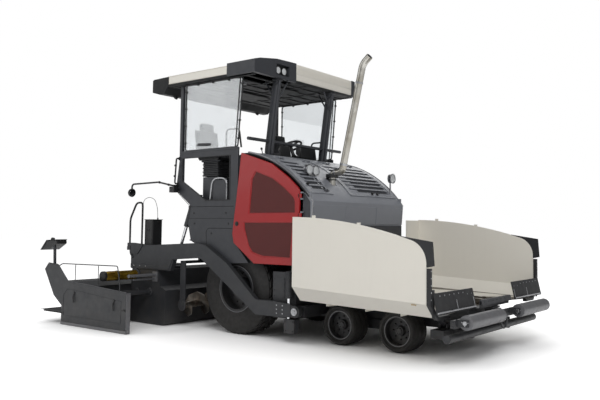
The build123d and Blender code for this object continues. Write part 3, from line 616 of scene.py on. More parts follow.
# Hood lids: slabs over the CAD openings, with slots and blades; a fixed filler carries the exhaust
LIDS = {"right": (-1165, -590), "left": (-165, 1143)}
LOUVRES = (790, 900, 1000, 1090, 1165, 1235, 1305)
for lid_name, (low, high) in LIDS.items():
    body = f"hood_lid_{lid_name}"
    lid = Shape()
    border = 95
    stations = [620] + [x for a in LOUVRES for x in (a - 23, a + 23)] + [1385]
    for first, last in zip(stations[0::2], stations[1::2]):
        lid.skin(first, last, low + border, high - border, 1, 8)
    for y0, y1 in ((low, low + border), (high - border, high)):
        lid.skin(620, 1385, y0, y1, 1, 8)
    inner = {"right": (-1020, -592), "left": (120, 1020)}[lid_name]
    for y0, y1 in ((inner[0], inner[0] + 20), (inner[1] - 20, inner[1])):
        lid.skin(624, 1346, y0, y1, -34, 1)
    lid.skin(624, 636, inner[0], inner[1], -34, 1)
    lid.skin(1334, 1346, inner[0], inner[1], -34, 1)
    blades = Shape()
    for a in LOUVRES:
        blades.prism([(a - 25, hood(a - 25) - 3), (a - 25, hood(a - 25) + 1), (a + 17, hood(a + 17) - 18),
                      (a + 17, hood(a + 17) - 22)], SIDE_VIEW, low + border - 4, high - border + 4)
    for y in (250, 890):
        sign = -1 if lid_name == "right" else 1
        if not low < sign * y < high:
            continue
        blades.prism([(617, 2577), (617, 2600), (664, hood(664) + 14), (664, hood(664) + 6)], SIDE_VIEW,
                     sign * (y - 45), sign * (y + 45))
    panel = lid.make(f"lid_panel_{lid_name}", HOOD, body, bevel=1.5)
    blades.make(f"lid_blades_{lid_name}", PANEL, body, bevel=0.8, segments=1)
    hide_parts(f"hood_lid_{lid_name}")
filler = Shape().skin(614, 1356, -584, -424, -20, 0).skin(614, 1356, -316, -114, -20, 0)
filler.skin(614, 1136, -424, -316, -20, 0).skin(1244, 1356, -424, -316, -20, 0)
filler.skin(600, 1370, -586, -578, -44, 0)
filler.make("hood_filler", HOOD, bevel=1)

# Work lamps: two over the right lid, one on the left lid
lamps = Shape()
for y, z in ((-800, 2425), (-650, 2417)):
    lamps.turned([(0, -80), (26, -80), (60, -52), (67, -8), (75, 10), (66, 10), (66, -4), (0, -12)],
                 (1100, y, z), AHEAD, 32)
for y in BRACKET_YS:
    lamps.prism([(1075, 2335), (1075, 2365), (1345, hood(1345) + 16), (1345, hood(1345) + 4)], SIDE_VIEW,
                y - 6, y + 6)
lamps.tube([(1085, -800, 2345), (1085, -650, 2345)], 13, 12)
lamps.make("twin_lamps", BRIGHT, "hood_lid_right", bevel=1, sharp=40, segments=1)
far = Shape().tube([(1309, 1080, hood(1309)), (1309, 1080, 2330)], 13, 14)
far.turned([(0, -80), (26, -80), (64, -52), (72, -8), (80, 10), (71, 10), (71, -4), (0, -12)],
           (1350, 1080, 2390), AHEAD, 32)
far.tube([(1309, 1080, 2325), (1290, 1080, 2350), (1300, 1080, 2372)], 12, 10)
far = far.make("far_lamp", BRIGHT, "hood_lid_left", bevel=1, sharp=40, segments=1)
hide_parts("work_lamps")

# Exhaust: up through the filler, forward, then a leaning stack
EXHAUST_Y = STACK_FOOT.y
pipe = Shape()
pipe.tube([(1190, EXHAUST_Y, 2080), (1190, EXHAUST_Y, 2395), STACK_FOOT, STACK_TOP, (1850, EXHAUST_Y, 4060)],
          52, 28, bend=80)
pipe = pipe.make("exhaust_pipe", STACK, bevel=0, sharp=50)
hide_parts("exhaust_stack")
# dark disc on the capped tip: painted shade standing in for the pipe's open hollow
Shape().disc((1851, EXHAUST_Y, 4061), (120, 0, 100), 47, 1, steps=28).make("exhaust_bore", DARK, bevel=0)

# Side doors: a frame with two openings, hinge tabs and a dark plate behind them, painted shade for the space
# behind the mesh
DOOR_FIELDS = {
    "upper": [(330, 1780), (375, 2290), (450, 2395), (775, 2290), (1010, 2140), (1175, 2000), (1205, 1940),
              (1205, 1780)],
    "lower": [(232, 1655), (237, 1560), (320, 1310), (400, 1215), (610, 1160), (1125, 1160), (1165, 1655)],
}
DOOR_EDGE = [(160, 2680), (760, 2490), (1070, 2285), (1240, 2140), (1280, 2080), (1270, 1750), (1180, 1060),
             (440, 1060), (30, 1350), (0, 1480), (30, 1710), (70, 1990)]
for side in SIDES:
    door = Shape(side).plate(DOOR_EDGE, list(DOOR_FIELDS.values()), SIDE_VIEW, SKIN_Y + 1, SKIN_Y + 40)
    for height in HINGE_HEIGHTS:
        door.box((1250, 1296), (1224, 1240), (height - 30, height + 30))
        door.tube([(1300, 1232, height - 30), (1300, 1232, height + 30)], 11, 16)
    door = door.make("door_frame", RED, "side_door", bevel=5)
    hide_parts(f"side_door_{side}")
    # dark plate behind the openings: painted shade of the space behind the mesh
    piece = Shape(side).prism(inset(DOOR_EDGE, 30), SIDE_VIEW, 1204, 1212)
    piece.make("door_painted_shade", DARK, "side_door", bevel=0)

# Roof: cream slab and visor, dark lining with its rear cap, corner housing on the near side
slab = Shape().prism([(-1460, -1280), (-120, -1280), (-120, -330), (440, -330), (440, 1280), (-1460, 1280)],
                     TOP_VIEW, 3885, 4015)
arc = [(150, 4015), (300, 4097), (430, 4150), (450, 4130), (450, 3990), (430, 3980), (150, 3980)]
slab.prism(arc, SIDE_VIEW, -328, 1190)
slab = slab.make("roof_slab", CREAM, bevel=16, segments=3)
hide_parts("roof_canopy")
lining = [(-1860, 3790), (-1860, 3990), (-1830, 4007), (-1460, 4015), (-1460, 3885), (440, 3885), (400, 3850),
          (-1480, 3850), (-1560, 3740), (-1680, 3740)]
Shape().prism(lining, SIDE_VIEW, -1278, 1278).make("roof_lining", DARK, bevel=10)
corner = [(-1292, 3850), (-1292, 4045), (-1170, 4080), (-780, 4140), (-330, 4152), (-330, 3850)]
housing = Shape().prism(corner, FRONT_VIEW, -120, 385)
housing.prism([(-1292, 3850), (-1292, 4045), (-1170, 4080), (-800, 4137), (-800, 3850)], FRONT_VIEW, 385, 450)
housing.prism([(-500, 3850), (-500, 4148), (-330, 4152), (-330, 3850)], FRONT_VIEW, 385, 450)
housing.prism([(-800, 3850), (-800, 3900), (-500, 3900), (-500, 3850)], FRONT_VIEW, 385, 450)
housing.prism([(-800, 4065), (-800, 4137), (-500, 4148), (-500, 4065)], FRONT_VIEW, 385, 450)
housing = housing.make("corner_housing", PANEL, bevel=9, segments=2)
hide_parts("roof_housing")
Shape().box((120, 460), (1190, 1292), (3865, 4145)).make("far_roof_cap", PANEL, bevel=22, segments=3)
for side in SIDES:
    pane = Shape(side).prism([(-1150, 2770), (-1150, 3850), (130, 3850), (40, 2770)], SIDE_VIEW, PANE_Y - 3,
                             PANE_Y + 3)
    pane = pane.make("side_pane", GLASS, bevel=0)
    if side == "right":
        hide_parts("side_glass")
    heads = Shape(side).tube([(351, 680, 3770), (365, 680, 3852)], 46, 20)
    heads.box((300, 425), (620, 740), (3828, 3851))
    heads.make("post_heads", PANEL, bevel=2)

# Console with a sloping desk, and the steering column
desk = Shape().prism([(-60, PLATFORM), (-60, 2370), (-160, 2570), (-150, 2640), (0, 2700), (110, 2700),
                      (110, PLATFORM)], SIDE_VIEW, -1050, 1050)
desk.tube([STEERING_HUB - COLUMN_AXIS * 380, STEERING_HUB], 30, 20)
desk = desk.make("console_desk", PLASTIC, bevel=14, segments=3)
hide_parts("console")

# Guard rail, cabinet and bracket on each tow arm; width cylinder on the screed
for side in SIDES:
    y = 1250
    guard = Shape(side).tube([(-2070, y, 1270), (-2070, y, 1970), (-2225, y, 1970), (-2385, y, 1700),
                              (-2385, y, 1280)], 16, 14, bend=60)
    guard.make("guard_rail", PLASTIC, "screed", bevel=0)
    Shape(side).box((-2400, -2285), (1210, 1290), (1230, 1300)).make("arm_bracket", STEEL, "screed", bevel=4)
    piece = Shape(side).box((-2050, -1850), (1010, 1215), (1240, 1690))
    piece.make("arm_cabinet", PLASTIC, "screed", bevel=16, segments=3)
    piece = Shape(side).tube([(WIDTH_X, 1265, WIDTH_Z), (WIDTH_X, 1925, WIDTH_Z)], 75, 36)
    piece.make("width_cylinder", ZINC, "screed", bevel=0, sharp=40)
    body = "screed_extension"
    step = Shape(side).box((-3360, -2775), (960, 2200), (174, 194))
    step.box((-1195, -1180), (2130, 2200), (5, 598))
    step.make("footboard", STEEL, body, bevel=2)
    rail = Shape(side).tube([(-2960, 2192, 925), (-2863, 2192, 966), (-1429, 2192, 984), (-1361, 2192, 700),
                             (-1361, 2192, 605)], 8, 10, bend=30)
    rail.tube([(-3120, 2170, 930), (-3140, 2170, 1290)], 24, 16)
    rail.make("hand_rail", STEEL, body, bevel=0)
    piece = Shape(side).prism([(-3430, 1180), (-3340, 1330), (-3050, 1345), (-3040, 1285), (-3250, 1180)],
                              SIDE_VIEW, 2010, 2200)
    piece.make("screed_panel", PLASTIC, body, bevel=12, segments=2)


# ================= Wheels =================
def tyre(node, bead_radius, tread, body):
    """Replaces a plain CAD tyre: carcass with grooved crown and shoulder blocks, inside the CAD outline."""
    low, high = mm(node)
    centre, radius, half = (low + high) / 2, (high.z - low.z) / 2, (high.y - low.y) / 2
    deep = tread["depth"]
    bead = half * 0.82

    def wall(share):
        """Radius at a share of the way from the bead to the crown."""
        return bead_radius + (radius - bead_radius) * share

    side = [(bead_radius - 2, bead * 0.2), (bead_radius - 2, bead), (bead_radius + 8, bead + 3),
            (wall(0.28), half * 0.93), (wall(0.33), half * 0.975), (wall(0.50), half * 0.995),
            (wall(0.68), half * 0.985), (wall(0.71), half * 0.955), (wall(0.82), half * 0.93),
            (radius - deep - 4, half * 0.83)]
    crown = []
    grooves = tread["grooves"]
    for index in range(grooves):
        y = half * 0.66 * (1 - 2 * index / max(1, grooves - 1)) if grooves > 1 else 0
        crown += [(radius - 2, y + 12), (radius - deep, y + 8), (radius - deep, y - 8), (radius - 2, y - 12)]
    profile = side + ([(radius - 2, half * 0.78)] + crown + [(radius - 2, -half * 0.78)] if grooves else [])
    profile += [(r, -y) for r, y in reversed(side)]
    shape = Shape().turned(profile, centre, OUT, 72)
    rows = tread.get("rows", 0)
    for row in range(rows):
        for pitch in range(tread["pitches"]):
            mid = 2 * math.pi * (pitch + 0.5 * (row % 2)) / tread["pitches"]
            wide = 2 * half * 0.80 / rows
            y = -half * 0.80 + wide * (row + 0.5)
            skew = math.radians(tread["skew"]) * (1 if row < rows / 2 else -1)
            verts = []
            for level, share in ((radius - deep - 6, 1.0), (radius - 0.5, 0.86)):
                for edge_y in (-0.5, 0.5):
                    for edge in (-0.5, 0.5):
                        reach = math.pi / tread["pitches"] * 1.52 * share * edge
                        angle = mid + reach + skew * edge_y * 0.35
                        offset = y + wide * 0.84 * edge_y * share
                        verts.append(centre + Vector((math.cos(angle) * level, offset,
                                                      math.sin(angle) * level)))
            shape.grow(verts, [(0, 1, 3, 2), (4, 6, 7, 5), (0, 4, 5, 1), (2, 3, 7, 6), (0, 2, 6, 4),
                               (1, 5, 7, 3)])
    piece = shape.make(node + "_tread", TYRE, body, bevel=2.5 if rows else 0, sharp=40, segments=1)
    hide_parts(node)


def wheel_trim(name, node, body, side, nuts, nut_circle, face, hub):
    """Wheel nuts, hub cap and a lighter ring along the lip of a rim's flange, a painted highlight."""
    low, high = mm(node)
    centre = (low + high) / 2
    radius = (high.z - low.z) / 2
    out = Vector((0, side, 0))
    hub_radius, hub_face = hub
    plate = Shape()
    for index in range(nuts):
        angle = 2 * math.pi * index / nuts
        place = Vector((centre.x + nut_circle * math.cos(angle), side * face,
                        centre.z + nut_circle * math.sin(angle)))
        plate.disc(place, out, 17, 5, steps=12)
        plate.disc(place + out * 4, out, 12, 16, steps=6)
        plate.disc(place + out * 16, out, 6, 10, steps=10)
    plate.disc((centre.x, side * hub_face, centre.z), out, hub_radius, 16, 6, steps=32)
    for index in range(6):
        angle = math.pi / 3 * index
        place = Vector((centre.x + hub_radius * 0.7 * math.cos(angle), side * (hub_face + 15),
                        centre.z + hub_radius * 0.7 * math.sin(angle)))
        plate.disc(place, out, 7, 6, steps=6)
    plate.tube([(centre.x + radius * 0.55, side * (face - 4), centre.z - radius * 0.25),
                (centre.x + radius * 0.60, side * (face + 34), centre.z - radius * 0.27)], 5, 8)
    plate.make(name + "_nuts", RIM, body, bevel=0.8, segments=1)
    lip = max(abs(low.y), abs(high.y))
    # lighter ring along the rim's lip: painted highlight
    ring = Shape().band(radius - 7, radius + 1.5, lip - 0.5, lip + 2.5, (centre.x, 0, centre.z), out, 64)
    ring.make(name + "_flange", ROLLER, body, bevel=0)


REAR_TREAD = {"depth": 16, "grooves": 0, "rows": 4, "pitches": 34, "skew": 16}
FRONT_TREAD = {"depth": 5, "grooves": 3}
for side_name, side in SIDES.items():
    tyre(f"tyre_{side_name}_rear", 322, REAR_TREAD, f"wheel_{side_name}_rear")
    wheel_trim(f"rear_hub_{side_name}", f"rim_{side_name}_rear", f"wheel_{side_name}_rear", side, 12, 230,
               985, (120, 1060))
    for place in ("fore", "aft"):
        tyre(f"tyre_{side_name}_{place}", 192, FRONT_TREAD, f"wheel_{side_name}_{place}")
        wheel_trim(f"{place}_hub_{side_name}", f"rim_{side_name}_{place}", f"wheel_{side_name}_{place}", side,
                   8, 110, 815, (46, 865))


# ================= Hood, lids and lamps =================
for side in SIDES:
    arch = [(x, SKIN_Y - 3, hood(x) + 3) for x in range(270, 1471, 60)]
    foot = [(1478, SKIN_Y - 3, 1950), (1453, SKIN_Y - 3, 1640)]
    Shape(side).tube(arch + foot, 7, 8).make("hood_edge", BRIGHT, bevel=0)
    seal = [(x, SKIN_Y + 6, hood(x) - 22) for x in range(270, 1431, 60)]
    Shape(side).tube(seal, 8, 8).make("hood_seal", PLASTIC, bevel=0)
    # dark strip between the door's front edge and the hood
    strip = [(1316, 1010), (1316, 2060), (1352, 2040), (1436, 1938), (1436, 1010)]
    Shape(side).prism(strip, SIDE_VIEW, SKIN_Y, SKIN_Y + 5).make("jamb_cover", PANEL, bevel=2)

front_face = Shape()
for low, high in ((-1150, -420), (-400, 400), (420, 1150)):
    corners = ((low, 1640), (high, 1640), (high, 1900), (low, 1900))
    verts = [(1448 + (z - 1620) / 333 * 25 + lift - 1, y, z) for lift in (0, 6) for y, z in corners]
    front_face.slab(verts)
front_face.make("hood_front_panels", HOOD, bevel=4)
for side in SIDES:
    piece = Shape(side).bolts([(1449 + (z - 1620) / 333 * 25, 1172, z) for z in (1660, 1770, 1880)],
                              (1, 0, -0.075), 16, 7)
    piece.make("hood_front_bolts", BRIGHT, bevel=0.5, segments=1)


def skin_place(ahead, y, lift=0.0):
    return Vector((ahead, y, hood(ahead))) + hood_normal(ahead) * lift


for lid_name, (low, high) in LIDS.items():
    body = f"hood_lid_{lid_name}"
    lips = Shape()
    for ahead in LOUVRES:
        # rolled lip over the rear edge of each slot, and a flat flange ahead of it
        back, front = ahead - 25, ahead + 25
        lips.tube([skin_place(back, low + 97, 9), skin_place(back, high - 97, 9)], 6, 8)
        lips.tube([skin_place(front, low + 97, 7), skin_place(front, high - 97, 7)], 4, 8)
    lips.make(f"louvre_lips_{lid_name}", HOOD, body, bevel=0)
    grid = Shape()
    for ahead in LOUVRES:
        count = max(2, int((high - low - 200) / 190))
        for index in range(1, count):
            y = low + 95 + (high - low - 190) * index / count
            grid.tube([skin_place(ahead - 24, y, -6), skin_place(ahead + 24, y, -6)], 4, 6)
    grid.make(f"louvre_webs_{lid_name}", PLASTIC, body, bevel=0)
    rivets = Shape()
    for ahead in range(660, 1361, 100):
        for y in (low + 40, high - 40):
            rivets.disc(skin_place(ahead, y, 7), hood_normal(ahead), 9, 4, steps=12)
    for index in range(int((high - low) / 110)):
        y = low + 60 + index * 110
        if y < high - 50:
            rivets.disc(skin_place(1362, y, 7), hood_normal(1362), 9, 4, steps=12)
    rivets.make(f"lid_rivets_{lid_name}", BRIGHT, body, bevel=0)


def latch(name, ahead, y, body):
    """Black T-shaped pull on a lid."""
    up = hood_normal(ahead)
    base = skin_place(ahead, y, 6)
    shape = Shape().disc(base, up, 26, 9, steps=20)
    shape.disc(base + up * 7, up, 12, 16, steps=14)
    top = base + up * 26
    shape.tube([top + Vector((0, -36, 0)), top + Vector((0, 36, 0))], 9, 10)
    shape.make(name, PLASTIC, body, bevel=1, segments=1)


latch("latch_right_outer", 1267, -1060, "hood_lid_right")
latch("latch_left_a", 1345, 473, "hood_lid_left")
latch("latch_left_b", 1345, 618, "hood_lid_left")


def lamp_glass(name, ahead, y, height, radius, body):
    """Ribbed lens, clamp ring and rear collar of a round work lamp that looks forward."""
    centre = (ahead, y, height)
    piece = Shape().turned([(0.01, -9), (radius - 12, -2), (radius - 12, 5), (radius * 0.5, 10), (0.01, 13)],
                           centre, AHEAD, 32)
    piece.make(name + "_lens", LAMP, body, bevel=0, sharp=60)
    ring = Shape().turned([(radius - 13, 4), (radius + 3, 4), (radius + 3, 14), (radius - 6, 17),
                           (radius - 13, 12)], centre, AHEAD, 36)
    ring.disc((ahead - 84, y, height), AHEAD, 20, 8)
    ring.band(radius * 0.84, radius * 0.84 + 7, -50, -40, centre, AHEAD, 30)
    ring.make(name + "_ring", BRIGHT, body, bevel=0.8, segments=1)


lamp_glass("lamp_inner", 1100, -650, 2417, 75, "hood_lid_right")
lamp_glass("lamp_outer", 1100, -800, 2425, 75, "hood_lid_right")
lamp_glass("lamp_far", 1350, 1080, 2390, 80, "hood_lid_left")
piece = Shape().bolts([(1340, y, hood(1340) + 16) for y in BRACKET_YS], (0.5, 0, 1), 16, 8)
piece.box((1315, 1372), (-775, -675), (hood(1345) + 2, hood(1345) + 12))
piece.make("lamp_bracket_foot", STEEL, "hood_lid_right", bevel=2)


# ================= Exhaust =================
stack = Shape()
stack.turned([(52, -10), (88, -10), (96, 30), (96, 44), (80, 44), (60, 12), (52, 12)],
             (1190, EXHAUST_Y, 2330), UP, 32)
stack.band(52.5, 61, -8, 8, (1190, EXHAUST_Y, 2290), UP, 32)
stack.make("exhaust_collar", PLASTIC, bevel=1, segments=1)
lean = (STACK_TOP - STACK_FOOT).normalized()
clamps = Shape()
for along, height in ((120, 34), (1330, 26)):
    centre = STACK_FOOT + lean * along
    clamps.band(52.3, 57, -height / 2, height / 2, centre, lean, 32)
    for offset in (-8, 8):
        clamps.tube([centre + Vector((0, -62, 0)) + lean * offset,
                     centre + Vector((18, -84, 0)) + lean * offset], 4, 8)
clamps.band(52.3, 60, -14, 14, (1262, EXHAUST_Y, 2395), AHEAD, 32)
clamps.make("exhaust_clamps", BRIGHT, bevel=0.8, segments=1)


# ================= Side doors =================
for side in SIDES:
    body = "side_door"
    for field, outline in DOOR_FIELDS.items():
        face = SKIN_Y + 27
        piece = Shape(side).prism(inset(outline, 5), SIDE_VIEW, face, face + 4)
        piece.make(f"door_mesh_{field}", MESH, body, bevel=0)
        piece = Shape(side).ring(inset(outline, 2), inset(outline, 16), SIDE_VIEW, face + 3, face + 8)
        piece.make(f"door_mesh_frame_{field}", RED, body, bevel=1)
    piece = Shape(side).ring(DOOR_EDGE, inset(DOOR_EDGE, 9), SIDE_VIEW, SKIN_Y + 2, SKIN_Y + 14)
    piece.make("door_seal", PLASTIC, body, bevel=0)
    knob = Shape(side).disc((92, SKIN_Y + 39, 1630), OUT, 34, 7, steps=32)
    knob.disc((92, SKIN_Y + 45, 1630), OUT, 22, 8, steps=24)
    knob.box((70, 114), (SKIN_Y + 50, SKIN_Y + 58), (1624, 1636))
    knob.make("door_handle", PLASTIC, body, bevel=1.2, segments=1)
    hinge_bolts = Shape(side)
    for height in HINGE_HEIGHTS:
        for lift in (-16, 16):
            hinge_bolts.disc((1262, SKIN_Y + 39, height + lift), OUT, 7, 5, steps=12)
    hinge_bolts.make("door_hinge_bolts", PLASTIC, body, bevel=0)


# ================= Side bays =================
for side in SIDES:
    face = SKIN_Y
    seams = Shape(side)
    seams.box((-985, -20), (face, face + 2), (1706, 1712))
    seams.tube([(-1290, face, 2140), (-1010, face, 1930), (-930, face, 1890), (-20, face, 1890)], 4, 6)
    seams.tube([(-560, face, 1120), (-600, face, 1500), (-560, face, 1560), (-40, face, 1560)], 4, 6, bend=60)
    seams.make("bay_seams", DARK, bevel=0)
    latches = Shape(side)
    for place in ((-880, 1790), (-180, 1790), (-860, 1630), (-120, 1630), (-480, 1480)):
        latches.disc((place[0], face, place[1]), OUT, 16, 5, steps=20)
        latches.box((place[0] - 9, place[0] + 9), (face + 4, face + 8), (place[1] - 2, place[1] + 2))
    latches.make("bay_latches", PLASTIC, bevel=1, segments=1)
    window = [(-1160, 2300), (-1160, 2660), (-110, 2660), (-110, 1990), (-620, 1990)]
    piece = Shape(side).ring(inset(window, -12), inset(window, 6), SIDE_VIEW, face + 1, face + 8)
    piece.make("bay_window_seal", PLASTIC, bevel=2)
    # rim along the top of the bay
    Shape(side).box((-1216, 52), (face - 40, face + 5), (2745, 2782)).make("bay_rim", PANEL, bevel=8)
    # grab rail with round feet outside the rear post
    rails = Shape(side)
    x, low, high = -1262, 2262, 2668
    y = face + 62
    rails.tube([(x - 10, face - 14, low), (x - 10, y, low), (x + 18, y, high), (x + 18, face - 14, high)], 13,
               12, bend=45)
    for height in (low, high):
        rails.disc((x - 10 if height == low else x + 18, face - 2, height), OUT, 28, 8, steps=20)
    for share in (0.3, 0.72):
        point = Vector((x - 10 + 28 * share, y, low + (high - low) * share))
        rails.disc(point - Vector((0, 4, 0)), (-1, 0, 0), 17, 34, 6, steps=16)
    rails.make("grab_rails", PLASTIC, bevel=1, segments=1)
    # bay lamp box with its amber lens under the mirror arm
    tail = Shape(side).box((-1330, -1215), (face + 30, face + 128), (2120, 2214))
    tail.box((-1235, -1215), (face - 4, face + 60), (2140, 2190))
    tail.make("tail_lamp_box", PLASTIC, bevel=9)
    piece = Shape(side).turned([(0.01, 0), (31, 0), (31, 10), (22, 20), (0.01, 24)], (-1330, face + 82, 2150),
                               (-1, 0, 0), 28)
    piece.make("tail_lamp_amber", AMBER, bevel=0, sharp=60)
    # round mirror at the end of its arm
    arm_end = Vector((-2170, 1400, 2130))
    mirror_head = Shape(side).turned([(0.01, -52), (40, -46), (66, -18), (70, 8), (64, 14), (0.01, 14)],
                                     arm_end, (1, 0.0, -0.1), 36)
    mirror_head.disc(arm_end + Vector((0, 0, 20)), UP, 20, 40, 6, steps=16)
    mirror_head.make("mirror_shell", PLASTIC, bevel=0, sharp=50)
    piece = Shape(side).turned([(0.01, 14), (60, 14), (60, 17), (0.01, 20)], arm_end, (1, 0.0, -0.1), 36)
    piece.make("mirror_face", CHROME, bevel=0, sharp=60)
    piece = Shape(side).band(14.3, 20, -9, 9, (-1540, 1349, 2286), (-1, 0, 0.2), 20)
    piece.band(14.3, 20, -9, 9, (-1330, 1335, 2243), (-1, 0, 0.2), 20)
    piece.make("mirror_arm_clamps", PLASTIC, bevel=1, segments=1)


# ================= Posts, panes and roof =================
for side in SIDES:
    y = 680
    double = Shape(side)
    double.tube([(268, y, 2700), (268, y, 2760), (410, y, LINING - 6)], 26, 12, bend=60)
    double.tube([(150, y, 2720), (155, y, 2800), (300, y, LINING - 6)], 22, 12, bend=60)
    for share in (0.12, 0.42, 0.72, 0.94):
        x, z = 215 + 145 * share, 2720 + (LINING - 2740) * share
        double.box((x - 70, x + 75), (y - 12, y + 12), (z - 16, z + 16))
    double.make("post_stiffeners", PANEL, bevel=3)
    brace = Shape(side).tube([(372, y - 30, 3560), (390, y - 210, LINING - 5)], 13, 10)
    brace.tube([(330, y, 3500), (120, y, LINING - 5)], 13, 10)
    brace.make("post_braces", PANEL, bevel=0)
    # pane frame: bottom rail, slanted front tube, thin rear tube and clamps
    frame_tubes = Shape(side)
    corners = [(-1128, PANE_Y, 2782), (-1128, PANE_Y, 3836), (118, PANE_Y, 3836), (32, PANE_Y, 2782)]
    frame_tubes.tube(corners, 11, 10, bend=50, closed=True)
    frame_tubes.tube([(-20, PANE_Y, 2782), (62, PANE_Y, 3836)], 9, 10)
    for share in (0.12, 0.38, 0.64, 0.9):
        z = 2782 + 1054 * share
        for x in (-1128, 32 + 86 * share):
            frame_tubes.box((x - 16, x + 16), (PANE_Y - 14, PANE_Y + 16), (z - 12, z + 12))
            frame_tubes.disc((x, PANE_Y + 14, z), OUT, 10, 8, steps=12)
    for x in (-860, -520, -180):
        frame_tubes.box((x - 12, x + 12), (PANE_Y - 14, PANE_Y + 16), (3808, 3848))
    frame_tubes.make("pane_frame", PLASTIC, bevel=1.5, segments=1)

ribs = Shape()
for station in range(-1380, 400, 260):
    ribs.box((station, station + 46), (-1215, 1215), (LINING - 16, LINING + 2))
for y in (-1215, -600, -20, 560, 1175):
    ribs.box((-1440, 380), (y, y + 40), (LINING - 12, LINING + 2))
ribs.make("roof_ribs", DARK, bevel=3)
piece = Shape().box((-1100, -700), (-330, 330), (LINING - 34, LINING - 10))
piece.box((-300, 60), (-240, 240), (LINING - 30, LINING - 10))
piece.make("roof_inner_panels", DARK, bevel=10)
visor_ribs = Shape()
for height in (4012, 4040, 4068):
    visor_ribs.box((444, 454), (-320, 1180), (height, height + 6))
visor_ribs.make("visor_ribs", CREAM, bevel=1.5)
edge = Shape()
for side in (-1, 1):
    edge.box((-1455, -130 if side < 0 else 110), sorted((side * 1278, side * 1284)), (3884, 3892))
    edge.box((-1455, -130 if side < 0 else 110), sorted((side * 1278, side * 1286)), (4004, 4013))
edge.make("roof_edge_trim", CREAM, bevel=1.5)
seam = Shape()
for x in (-1462, -1458):
    seam.box((x, x + 2), (-1281, 1281), (3880, 4016))
seam.make("roof_cap_seam", DARK, bevel=0)
Shape().box((385, 392), (-798, -502), (3902, 4063)).make("roof_lamp_back", PLASTIC, bevel=2)
for index, y in enumerate((-718, -582)):
    centre = (398, y, 3980)
    piece = Shape().turned([(0.01, -4), (52, 0), (52, 12), (30, 17), (0.01, 19)], centre, AHEAD, 32)
    piece.make(f"roof_lamp_{index}", LAMP, bevel=0, sharp=60)
    piece = Shape().band(51, 60, -4, 16, centre, AHEAD, 32)
    piece.make(f"roof_lamp_ring_{index}", PLASTIC, bevel=1, segments=1)
for side in SIDES:
    centre = (-1600, 1000, 3735)
    piece = Shape(side).turned([(0.01, -30), (34, -26), (46, 6), (40, 10), (0.01, 10)], centre, (-1, 0, -0.5),
                               28)
    piece.disc((-1600, 1000, 3735), UP, 10, 22, steps=12)
    piece.make("rear_lamp_shell", PLASTIC, bevel=0, sharp=50)
    piece = Shape(side).turned([(0.01, 10), (38, 10), (38, 13), (0.01, 18)], centre, (-1, 0, -0.5), 28)
    piece.make("rear_lamp_lens", LAMP, bevel=0, sharp=60)
# small lamp with a pale blade under the roof, on the near side
piece = Shape().turned([(0.01, -24), (30, -20), (38, 14), (0.01, 20)], (-120, -900, 3812), UP, 24)
piece.tube([(-120, -900, 3805), (-330, -940, 3770)], 8, 8)
piece.make("cab_fixture", ROLLER, bevel=0, sharp=50)


# ================= Operator's place =================
desk = Shape()
desk.prism([(-150, 2640), (-165, 2668), (-10, 2724), (118, 2722), (118, 2700)], SIDE_VIEW, -700, 700)
desk.make("console_top", PLASTIC, bevel=8)
controls, knobs, dials = Shape(), Shape(), Shape()
slope = Vector((-0.36, 0, 0.93)).normalized()
for column in range(9):
    for row in range(2):
        y = -600 + column * 74
        if 300 < y < 600:
            continue
        place = Vector((-128 + row * 62, y, 2676 + row * 23))
        controls.disc(place, slope, 17, 6, steps=16)
        knobs.disc(place + slope * 5, slope, 10, 12 if row else 7, steps=12)
for y in (200, 680):
    dials.disc((-60, y, 2707), slope, 44, 10, steps=28)
controls.make("console_switch_plates", PANEL, bevel=1, segments=1)
knobs.make("console_knobs", ROLLER, bevel=1, segments=1)
dials.make("console_dials", SCREEN, bevel=1)
for index, y in enumerate((-520, 160)):
    levers = Shape().tube([(-60, y, 2700), (-84, y, 2800)], 7, 10)
    levers.turned([(0.01, -18), (12, -16), (19, 0), (14, 20), (0.01, 24)], (-90, y, 2818), (-0.2, 0, 1), 20)
    levers.disc((-58, y, 2694), slope, 30, 14, 8, steps=20)
    levers.make(f"console_lever_{index}", PLASTIC, bevel=0, sharp=50)
screen = Shape().prism([(20, 2720), (-16, 2900), (4, 2906), (44, 2724)], SIDE_VIEW, -180, 60)
screen.make("monitor_shell", PLASTIC, bevel=8)
piece = Shape().prism([(7, 2748), (-20, 2882), (-17.5, 2883), (10, 2749)], SIDE_VIEW, -164, 44)
piece.make("monitor_screen", SCREEN, bevel=0)
cluster = Shape().prism([(60, 2722), (-30, 2800), (-14, 2934), (76, 2946), (112, 2722)], SIDE_VIEW, 240, 660)
cluster.make("dash_cluster", PLASTIC, bevel=22)
gauges = Shape()
for y in (320, 450, 580):
    gauges.turned([(0.01, 0), (46, 0), (46, 6), (40, 6), (38, 2), (0.01, 2)], (-26, y, 2866), (-1, 0, 0.12),
                  28)
gauges.make("dash_gauges", BRIGHT, bevel=0)
piece = Shape().turned([(0.01, 20), (52, 20), (52, 30), (36, 44), (0.01, 48)], STEERING_HUB, COLUMN_AXIS, 32)
piece.make("wheel_cap", PLASTIC, "steering_wheel", bevel=0, sharp=50)
# soft grip round the wheel's rim
piece = Shape().turned([(195 + 19 * math.cos(a), 12 + 19 * math.sin(a))
                        for a in [2 * math.pi * i / 12 for i in range(12)]], STEERING_HUB, COLUMN_AXIS, 64)
piece.make("wheel_grip", PLASTIC, "steering_wheel", bevel=0, sharp=60)
boot = [(0.01, -6), (34, -6)]
for step in range(8):
    boot += [(60 - step * 2, step * 26), (44 - step * 2, step * 26 + 13)]
boot += [(34, 8 * 26), (0.01, 8 * 26)]
piece = Shape().turned(boot, STEERING_HUB - COLUMN_AXIS * 352, COLUMN_AXIS, 28)
piece.make("column_boot", PLASTIC, bevel=0, sharp=60)
